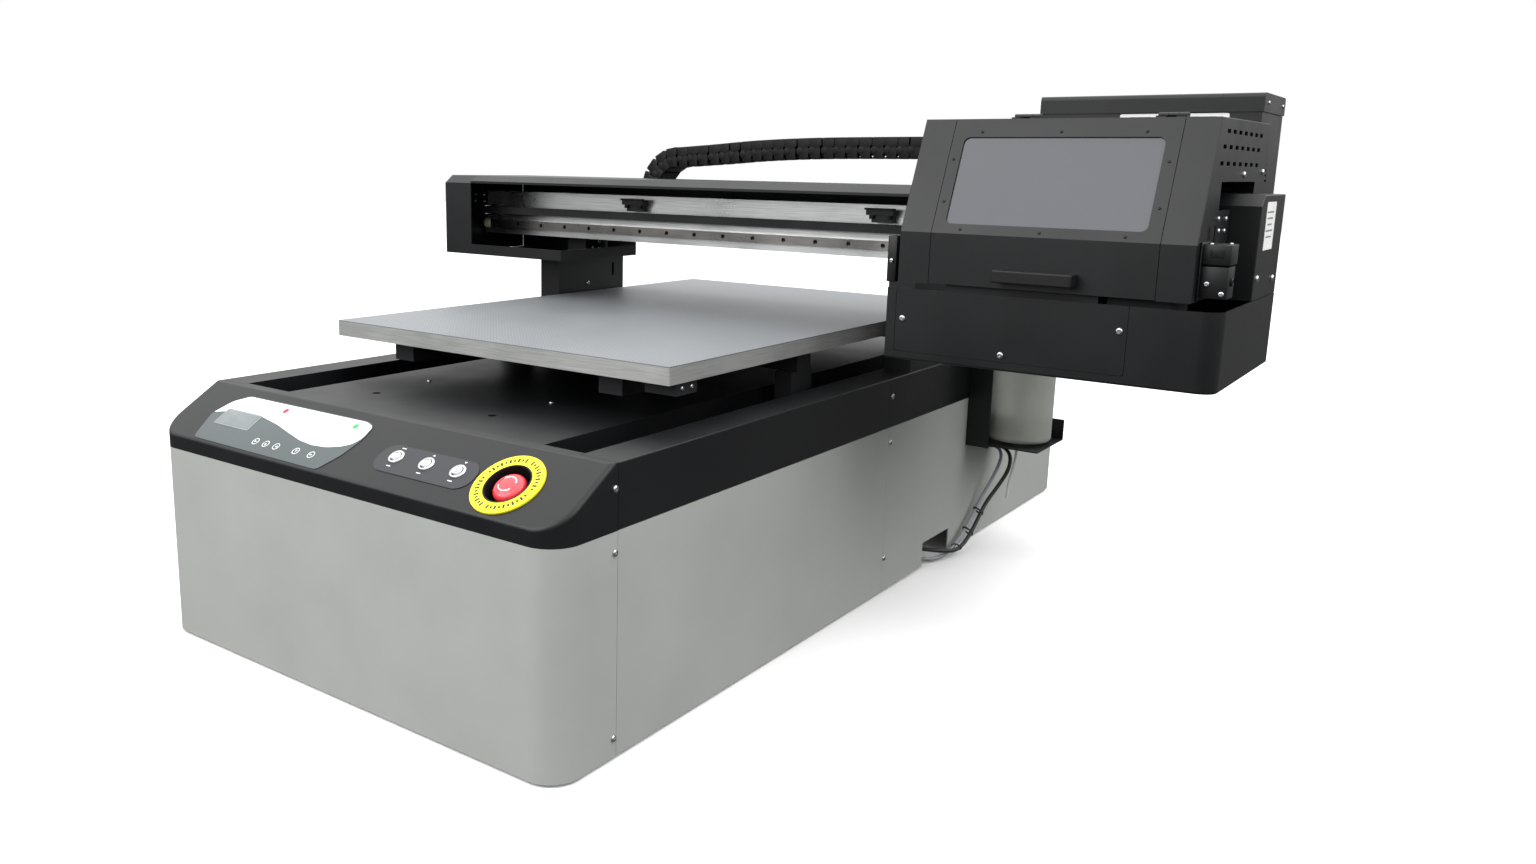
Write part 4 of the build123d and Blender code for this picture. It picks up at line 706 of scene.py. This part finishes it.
@dataclass
class Console:
    """The control panel: printed film, display, keys, buttons and the emergency stop."""

    film: tuple[Point, ...] = (
        (84, 7), (76, 30), (69, 52), (84, 80), (108, 96), (362, 96), (378, 90), (380, 66), (372, 34),
        (354, 3), (92, 4))
    swoosh: tuple[Point, ...] = (
        (71, 53), (85, 79), (109, 94.5), (361, 94.5), (376.5, 89), (378.5, 68), (372, 55), (356, 46),
        (334, 40), (308, 38), (280, 41), (250, 48), (215, 57), (175, 64), (130, 66), (95, 60), (78, 56))
    display: tuple[float, float, float, float] = (93, 172, 35, 66)
    film_top: float = 0.8
    lamps: tuple[tuple[str, Finish, Point], ...] = (("red_lamp", RED_LENS, (202.6, 83.3)),
                                                    ("green_lamp", GREEN_LENS, (348.7, 83.6)))
    icons: tuple[Point, ...] = ((223.9, 82), (246, 82.4), (287.4, 83.2), (319.3, 83.2), (272.7, 52.8),
                                (305.4, 53.3))
    keys: tuple[Point, ...] = ((207.5, 22), (229.7, 22), (251.8, 22), (292.6, 22.8), (323.5, 23))
    button_xs: tuple[float, ...] = (458.6, 511.9, 565.1)
    button_s: float = 51.0
    stop: Point = (646, 50)
    head_lift: float = -10.7
    well: float = 22.0

    def build(self) -> None:
        """Makes every piece on the console's slope."""
        self._film()
        self._buttons()
        self._stop_plate()
        self._stop_head()

    def _film(self) -> None:
        """Lays the printed film, its display, icons, keys and lamps."""
        flat = CONSOLE.place(0, 0)
        base = Piece("control_film", OVERLAY_DARK, "base")
        base.slab(rounded(self.film, 6), 0.02, self.film_top, flat)
        film = base.done(0.15)
        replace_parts(film, "control_overlay")
        Piece("film_swoosh", OVERLAY_WHITE, "base").slab(
            rounded(self.swoosh, 5, 4), self.film_top - 0.1, self.film_top + 0.12, flat).done()
        x0, x1, s0, s1 = self.display
        middle = CONSOLE.place((x0 + x1) / 2, (s0 + s1) / 2)
        Piece("display_frame", PRINT_GREY, "base").slab(
            rectangle(x1 - x0, s1 - s0, 2.5), 0.6, self.film_top + 0.45, middle).done(0.2)
        Piece("display_glass", LCD_GLASS, "base").slab(
            rectangle(x1 - x0 - 4, s1 - s0 - 4, 1), 0.8, self.film_top + 0.6, middle).done(0.15)
        for name, finish, (x, s) in self.lamps:
            Piece(name, finish, "base").lathe(((0, 0.8), (4.6, 0.8), (4.6, 1.1), (3.2, 1.7), (0, 2.0)),
                                              CONSOLE.place(x, s), 28).done()
        top = self.film_top
        icons = Piece("film_icons", PRINT_GREY, "base")
        for index, (x, s) in enumerate(self.icons):
            spot = CONSOLE.place(x, s, top + 0.12)
            icons.lathe(ring_profile(4.0, 5.1, 0, 0.1), spot, 32)
            icons.slab([(-2.3, -0.6), (2.3, -0.6), (2.3, 0.6), (-2.3, 0.6)], 0, 0.1, spot)
            if index % 2:
                icons.slab([(-0.4, -2.2), (0.4, -2.2), (0.4, -0.5), (-0.4, -0.5)], 0, 0.1, spot)
        icons.done()
        keys = Piece("film_keys", PRINT_WHITE, "base")
        for index, (x, s) in enumerate(self.keys):
            spot = CONSOLE.place(x, s, top, 90 * index)
            keys.lathe(ring_profile(4.7, 5.7, 0, 0.18), spot, 32)
            keys.slab([(-2.4, -1.6), (2.6, 0), (-2.4, 1.6)], 0, 0.15, spot)
        keys.done()

    def _buttons(self) -> None:
        """Turns three nickel push buttons with their bezels and printed marks."""
        bezels = Piece("button_bezels", NICKEL, "base")
        marks = Piece("button_marks", PRINT_WHITE, "base")
        for index, (word, x) in enumerate(zip(("reset", "up", "down"), self.button_xs)):
            node = f"{word}_button"
            spot = CONSOLE.place(x, self.button_s)
            bezels.lathe(((7.5, 0.85), (11, 0.85), (11, 1.6), (10.2, 2.6), (8.2, 2.9), (7.5, 2.4),
                          (7.5, 0.85)), spot, 40)
            cap = Piece(f"{node}_cap", NICKEL, f"{word}_key")
            cap.lathe(((0, -1.6), (7.05, -1.6), (7.05, 3.6), (6.4, 4.4), (5.2, 4.4), (4.8, 3.9), (3.4, 3.9),
                       (3.1, 4.3), (0, 4.2)), spot, 40)
            cap.lathe(((0, -15.3), (3.0, -15.3), (3.0, -1.6), (0, -1.6)), spot, 24)
            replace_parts(cap.done(), node)
            for side in (-15.5, 15.5):
                place = CONSOLE.place(x, self.button_s + side, 0.8)
                if index and side > 0:
                    tip = 2.6 if index == 1 else -2.6
                    marks.slab([(-2.4, -tip / 2), (2.4, -tip / 2), (0, tip / 2)], 0, 0.12, place)
                else:
                    marks.slab(rectangle(7, 1.4, 0.5), 0, 0.12, place)
        bezels.done()
        marks.done()

    def _stop_plate(self) -> None:
        """Prints graduation marks on the yellow plate and lines its well in black."""
        marks = Piece("stop_plate_marks", PRINT_BLACK, "base")
        count, middle = 44, 37.5
        for index in range(count):
            if index % 11 == 10:
                continue
            long = 6.0 if index % 2 else 3.5
            near, far, half = middle - long / 2, middle + long / 2, 1.3
            place = CONSOLE.place(*self.stop, 2.5, 360 * index / count)
            marks.slab([(near, -half), (far, -half), (far, half), (near, half)], 0, 0.12, place)
        marks.done()
        well = Piece("stop_well", BLACK_ABS, "base")
        spot = CONSOLE.place(*self.stop)
        deep = -self.well
        well.lathe(((28.95, deep), (28.95, 2.9), (29.6, 3.1), (30.2, 2.6), (29.9, 2.55), (28.4, 2.55),
                    (28.4, deep), (28.95, deep)), spot, 64)
        well.lathe(ring_profile(15.1, 28.9, deep + 0.05, deep + 0.6), spot, 64)
        collar = ((15.1, 0.1), (16.2, 0.1), (15.6, 6.4), (8.4, 6.4), (8.4, 6.1), (15.1, 6.1), (15.1, 0.1))
        well.lathe([(radius, deep + height) for radius, height in collar], spot, 64)
        well.done()

    def _stop_head(self) -> None:
        """Turns the red mushroom head, with two turning arrows on its top."""
        spot = CONSOLE.place(*self.stop, self.head_lift)
        head = Piece("stop_mushroom", RED_ABS, "stop_head")
        head.lathe(((4.1, 0), (13.5, 0), (15, 0.4), (19.6, 2.4), (20.4, 4), (20.4, 6.4), (19.2, 9.2),
                    (16.5, 11.6), (14.6, 12.1), (13.9, 11.9), (13.2, 12.5), (9, 13.7), (0, 14)), spot, 64)
        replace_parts(head.done(), "estop_head")
        arrows = Piece("stop_arrows", PRINT_WHITE, "stop_head")
        sweep, low, high = 110, 12.8, 13.35
        for start in (20, 200):
            angles = [math.radians(start + sweep * step / 16) for step in range(17)]
            outer = [polar(11.6, angle) for angle in angles]
            inner = [polar(10.2, angle) for angle in reversed(angles)]
            arrows.slab(outer + inner, low, high, spot)
            tip = math.radians(start + sweep + 18)
            end = math.radians(start + sweep)
            arrows.slab([polar(13.0, end), polar(10.9, tip), polar(8.8, end)], low, high, spot)
        arrows.done()


@dataclass
class DragChain:
    """The link chain behind the beam, in three stretches."""

    pitch: float = 24.0
    height: float = 35.0
    plate: float = 5.0
    bend_x: float = 219.0
    bend_r: float = 66.0
    low_z: float = 560.5
    fixed_x: float = 560.0
    upper: tuple[Point, ...] = ((219.3, 692.5), (300, 698), (400, 705.5), (520, 710), (700, 711.5),
                                (825, 711.5))
    links: tuple[int, int, int] = (26, 9, 14)
    squeeze: float = 695.0

    def _link(self, piece: Piece, x: float, z: float, angle: float) -> None:
        """Adds one link at a spot of the chain's middle line, turned by angle."""
        across, rise = polar(1, angle)
        side = Face((x, CHAIN_Y0, z), (across, 0, rise), (-rise, 0, across))
        h, p = self.height / 2, self.pitch / 2
        outline = rounded([(-p + 0.2, h), (p - 0.2, h), (p - 0.2, 5), (p - 4.4, 2), (p - 2.2, -2),
                           (p - 3.2, -h), (-p + 3.2, -h), (-p + 2.2, -2), (-p + 0.6, 2), (-p + 0.2, 5)],
                          1.2, 3)
        width = CHAIN_Y1 - CHAIN_Y0
        for near in (0.0, width - self.plate):
            piece.slab(outline, -near - self.plate, -near, side.place(0, 0))
        for near in (0.35, -width):
            piece.lathe(((0, near), (6.5, near), (6.5, near - 0.35), (0, near - 0.35)),
                        side.place(-p + 4, -4), 20)
        piece.box((-p + 1.5, h - 2.8, -width + 1), (p - 1.5, h + 0.4, -1), side.place(0, 0))
        piece.box((-p + 5, -h - 0.2, -width + 1), (p - 5, -h + 2.6, -1), side.place(0, 0))
        piece.box((-p + 0.1, -h + 5, -width + 7), (p - 0.1, h - 4, -7), side.place(0, 0))
        along = Matrix.Rotation(math.pi / 2, 4, "Y")
        for lane, (radius, drop) in enumerate(((5, 0), (4, -4), (5, 2), (4, -3), (3.5, 4))):
            hose = side.place(-p, drop, -12 - 8.5 * lane) @ along
            piece.lathe(((0, 0), (radius, 0), (radius, self.pitch), (0, self.pitch)), hose, 10)

    def _along(self, points: Sequence[Point], count: int) -> list[tuple[float, float, float]]:
        """Splits a smooth line through the points into equal links.

        Args:
            points: The line's points, x and z.
            count: Links on it.

        Returns:
            The middle and the angle of each link.
        """
        dense: list[Vector] = []
        spots = [Vector(p) for p in points]
        spots = [spots[0] * 2 - spots[1], *spots, spots[-1] * 2 - spots[-2]]
        for a, b, c, d in zip(spots, spots[1:], spots[2:], spots[3:]):
            for step in range(24):
                t = step / 24
                dense.append(0.5 * (2 * b + (c - a) * t + (2 * a - 5 * b + 4 * c - d) * t ** 2
                                    + (3 * b - a - 3 * c + d) * t ** 3))
        dense.append(spots[-2])
        lengths = [0.0]
        for a, b in zip(dense, dense[1:]):
            lengths.append(lengths[-1] + (b - a).length)
        links = []
        for index in range(count):
            goal = lengths[-1] * (index + 0.5) / count
            i = next(k for k, length in enumerate(lengths) if length >= goal)
            run = dense[i] - dense[i - 1]
            links.append((dense[i].x, dense[i].y, math.atan2(run.y, run.x)))
        return links

    def build(self) -> None:
        """Makes the upper run, the bend and the lower run."""
        top_count, turn_count, low_count = self.links
        top = Piece("chain_top_run", CHAIN_NYLON, "gantry")
        for x, z, angle in self._along(self.upper, top_count):
            self._link(top, x, z, angle)
        upper = top.done(0.35, ride=False)
        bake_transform(upper)
        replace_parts(upper, "chain_upper")
        clamp = Piece("chain_clamp", BLACK_COAT, "carriage")
        near, far, outer, inner = 806, 837.9, 3.5, 1.5
        for low_y, high_y in ((CHAIN_Y0 - outer, CHAIN_Y0 - inner), (CHAIN_Y1 + inner, CHAIN_Y1 + outer)):
            clamp.box((near, low_y, 689), (far, high_y, 734))
        clamp.box((near, CHAIN_Y0 - outer, 734), (far, CHAIN_Y1 + outer, 736))
        clamp.done(0.5)

        low = Piece("chain_low_run", CHAIN_NYLON, "gantry")
        reach = self.fixed_x - self.bend_x
        for index in range(low_count):
            self._link(low, self.bend_x + (index + 0.5) * reach / low_count, self.low_z, math.pi)
        lower = low.done(0.35, ride=False)
        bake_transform(lower)
        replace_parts(lower, "chain_lower")

        turn = Piece("chain_turn", CHAIN_NYLON, "chain_end")
        for index in range(turn_count):
            around = math.pi / 2 + math.pi * (index + 0.5) / turn_count
            out, rise = polar(self.bend_r, around)
            self._link(turn, self.bend_x + out, self.low_z + self.bend_r + rise, around + 1.5 * math.pi)
        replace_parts(turn.done(0.35), "chain_bend")


@dataclass
class Beam:
    """What is fastened to the beam: bumper, idler screws, clip details, labels and end-cap screws."""

    def build(self) -> None:
        """Makes the beam's small pieces."""
        Piece("rail_bumper", URETHANE, "gantry").lathe(
            ((0, 0), (8.5, 0), (10, 1.5), (10, 11), (8.5, 13), (5, 14), (0, 14)),
            facing_front(819).place(-150, 559), 32).done()
        screws("idler_screws", facing_front(787), ((-161, 615), (-136, 615), (-161, 602), (-136, 602)),
               "gantry", 2.6)
        clips = Piece("belt_clip_lips", BLACK_ABS, "gantry")
        for x in (223, 711):
            clips.box((x - 25, 797, 613.8), (x + 25, 806, 617))
            clips.box((x - 18, 801, 600), (x - 11, 806.2, 610))
            clips.box((x + 12, 801, 600), (x + 19, 806.2, 610))
        clips.done(0.8)
        for name, face, spots, radius in (
                ("cap_side_screws", facing_right(CAP_RIGHT), ((792, 546), (902, 540)), 4.6),
                ("cap_front_screws", facing_front(CAP_RIGHT_FRONT), ((1222, 546),), 4.6),
                ("foot_screws", facing_right(54), ((895, 517), (912, 515), (912, 528)), 4.2)):
            screws(name, face, spots, "gantry", radius)
        screws("rail_screws", facing_front(811), [(-123 + 60 * i, 559) for i in range(22)], "gantry", 3.2,
               BLACK_ABS)
        screws("left_cap_screws", facing_left(-173), ((-760, 620), (-890, 620), (-825, 524)), "gantry", 4.2)
        label = Piece("cap_label", LABEL_PAPER, "gantry")
        label.slab(rectangle(62, 62, 1.5), 0.02, 0.2, facing_right(CAP_RIGHT).place(842, 612))
        label.done()
        bars = Piece("cap_label_print", PRINT_GREY, "gantry")
        for row in range(5):
            bars.slab(rectangle(44 - 7 * (row % 3), 2.2, 0.5), 0.15, 0.28,
                      facing_right(CAP_RIGHT).place(838, 630 - 8 * row))
        bars.done()


@dataclass
class Station:
    """Screws of the capping station's housing."""

    front_y: float = 608.0

    def build(self) -> None:
        """Makes the panel's screws and the screws along the housing's seams."""
        screws("station_screws", facing_front(self.front_y), ((848, 476), (989, 440), (1136, 486)),
               "gantry", 4.6)
        screws("station_left_screws", facing_left(824), ((-690, 428), (-860, 428)), "gantry", 3.6)


@dataclass
class Carriage:
    """Screws, sensors and labels on the moving hood and the ink box behind it."""

    side_screws: tuple[Point, ...] = ((704, 623), (747, 622), (711, 608), (743, 607), (828, 677), (953, 681))

    def build(self) -> None:
        """Makes every piece that rides on the carriage and the door."""
        screws("hood_side_screws", facing_right(HOOD_RIGHT), self.side_screws[:4], "carriage", 3.2)
        screws("hood_mount_screws", facing_right(HOOD_RIGHT), self.side_screws[4:], "carriage", 4.2)
        window = [(x, s) for x in (922, 1027, 1132) for s in (6.5, 144.5)]
        window += [(x, s) for x in (890.5, 1164.5) for s in (45, 105)]
        screws("window_screws", HOOD_SLOPE, window, "door", 2.1, BLACK_COAT)
        self._right_sensor()
        self._left_sensor()
        self._ink_label()
        screws("lid_screws", facing_right(1205), ((1000, 777), (1110, 777)), "tank_lid", 3.0)

    def _right_sensor(self) -> None:
        """Builds the right crash sensor: a bracket, a block with a lens and two wires."""
        block = Piece("right_sensor", BLACK_COAT, "carriage")
        for low, high in (((1215.2, 664, 532), (1218, 700, 592)), ((1218, 626, 532), (1248, 662, 570)),
                          ((1218, 624, 572), (1249, 664, 596)), ((1215.2, 622, 528), (1218, 664, 598)),
                          ((1218, 664, 545), (1237, 698, 560)), ((1218, 640, 566), (1235, 660, 574))):
            block.box(low, high)
        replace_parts(block.done(1.2), "crash_sensors")
        lens = Piece("right_sensor_lens", BLACK_ABS, "carriage")
        lens.slab(rectangle(16, 10, 2), 0, 1.2, facing_front(624).place(1234, 586))
        lens.lathe(((0, 0), (5, 0), (5, 2.2), (3.6, 3), (3.4, 1.4), (0, 1.2)),
                   facing_right(1248).place(643, 552), 28)
        lens.done(0.3)
        screws("right_sensor_screws", facing_front(626), ((1225, 549), (1242, 538)), "carriage", 3.6)
        screws("right_sensor_top_screws", facing_up(596), ((1225, 632), (1242, 655)), "carriage", 2.6)
        wires = Piece("sensor_wires", BLACK_ABS, "carriage")
        for shift in (0, 5):
            wires.lathe(((0, 0), (1.1, 0), (1.1, 26), (0, 26)), facing_up(590).place(1220, 668 + shift), 12)
        wires.done()

    def _left_sensor(self) -> None:
        """Builds the slimmer crash sensor on the left."""
        block = Piece("left_sensor", BLACK_COAT, "carriage")
        block.box((794, 664, 519), (808, 688, 584))
        block.box((808, 684, 540), (837.8, 688, 575))
        block.box((830, 690, 527), (837.8, 698, 580))
        block.done(1.2)
        screws("left_sensor_screws", facing_front(664), ((801, 549),), "carriage", 3.6)

    def _ink_label(self) -> None:
        """Sticks a blank label on the ink box's front."""
        face = facing_front(INK_FRONT)
        label = Piece("ink_label", LABEL_PAPER, "carriage")
        label.slab(rectangle(150, 14, 3), 0.02, 0.2, face.place(1086, 755.5)).done()
        bars = Piece("ink_label_print", PRINT_GREY, "carriage")
        for x, width in ((1040, 30), (1082, 22), (1125, 36)):
            bars.slab(rectangle(width, 2.4, 0.6), 0.15, 0.3, face.place(x, 757))
        bars.done()


@dataclass
class Bottle:
    """The translucent waste bottle under the station."""

    spot: Point = (826.0, 1180.0)
    low: float = 200.0

    def build(self) -> None:
        """Turns the bottle with its shoulder and ribbed cap."""
        bottle = Piece("waste_bottle_body", BOTTLE_PE, "base")
        place = facing_up(self.low).place(*self.spot)
        bottle.lathe(((0, 3), (44, 3), (47, 0), (51, 1), (54.4, 5), (54.8, 9), (54.8, 150), (53, 159),
                      (46, 167), (30, 171), (22, 173), (21, 176), (21, 186), (0, 186)), place, 64)
        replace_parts(bottle.done(), "waste_bottle")
        cap = Piece("waste_bottle_cap", BLACK_ABS, "base")
        cap.lathe(((21.2, 177), (23.4, 177), (23.4, 196), (22, 198), (0, 198.5)), place, 48)
        for rib in range(24):
            turned = facing_up(self.low).place(*self.spot, 0.0, 15 * rib)
            cap.box((22.8, -0.8, 178), (23.9, 0.8, 194), turned)
        cap.done()


@dataclass
class BaseDetails:
    """Screws of the base casing, the deck, the columns and the table."""

    screw_spots: tuple[Point, ...] = ((100, 252), (100, 28), (100, 326), (793, 252), (793, 60), (793, 326),
                                      (1560, 252))

    def build(self) -> None:
        """Makes the screws of each face."""
        right = screws("right_casing_screws", facing_right(BASE_W), self.screw_spots, "base", 4.4)
        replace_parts(right, "base_screws")
        screws("left_casing_screws", facing_left(0), [(-y, z) for y, z in self.screw_spots], "base", 4.4)
        screws("deck_screws", facing_up(350), ((215, 317), (464, 317), (215, 1500), (464, 1500)), "base", 3.4)
        screws("column_bolts", facing_right(50), ((883, 448), (940, 400)), "base", 4.4)
        screws("table_clamp_screws", facing_right(690), ((312, 400), (333, 400)), "table", 3.4)
        screws("rear_screws", Face((0, 1592, 0), (-1, 0, 0), (0, 0, 1)),
               [(-x, z) for x in (24, 377, 730) for z in (40, 300)], "base", 4.2)


def dress_frame() -> None:
    """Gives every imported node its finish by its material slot."""
    for part in frame["record"]["subparts"]:
        node = frame["nodes"][part["node"]]
        node.data.materials.clear()
        node.data.materials.append(SLOT_FINISHES[part["material_slot"]].material())


def main() -> None:
    """Builds the sub-assemblies in order."""
    logging.basicConfig(level=logging.INFO)
    Studio().build()
    Cords().build()
    dress_frame()
    for assembly in (Console(), DragChain(), Beam(), Station(), Carriage(), Bottle(), BaseDetails()):
        LOG.info("building %s", type(assembly).__name__)
        assembly.build()


if __name__ == "__main__":
    main()
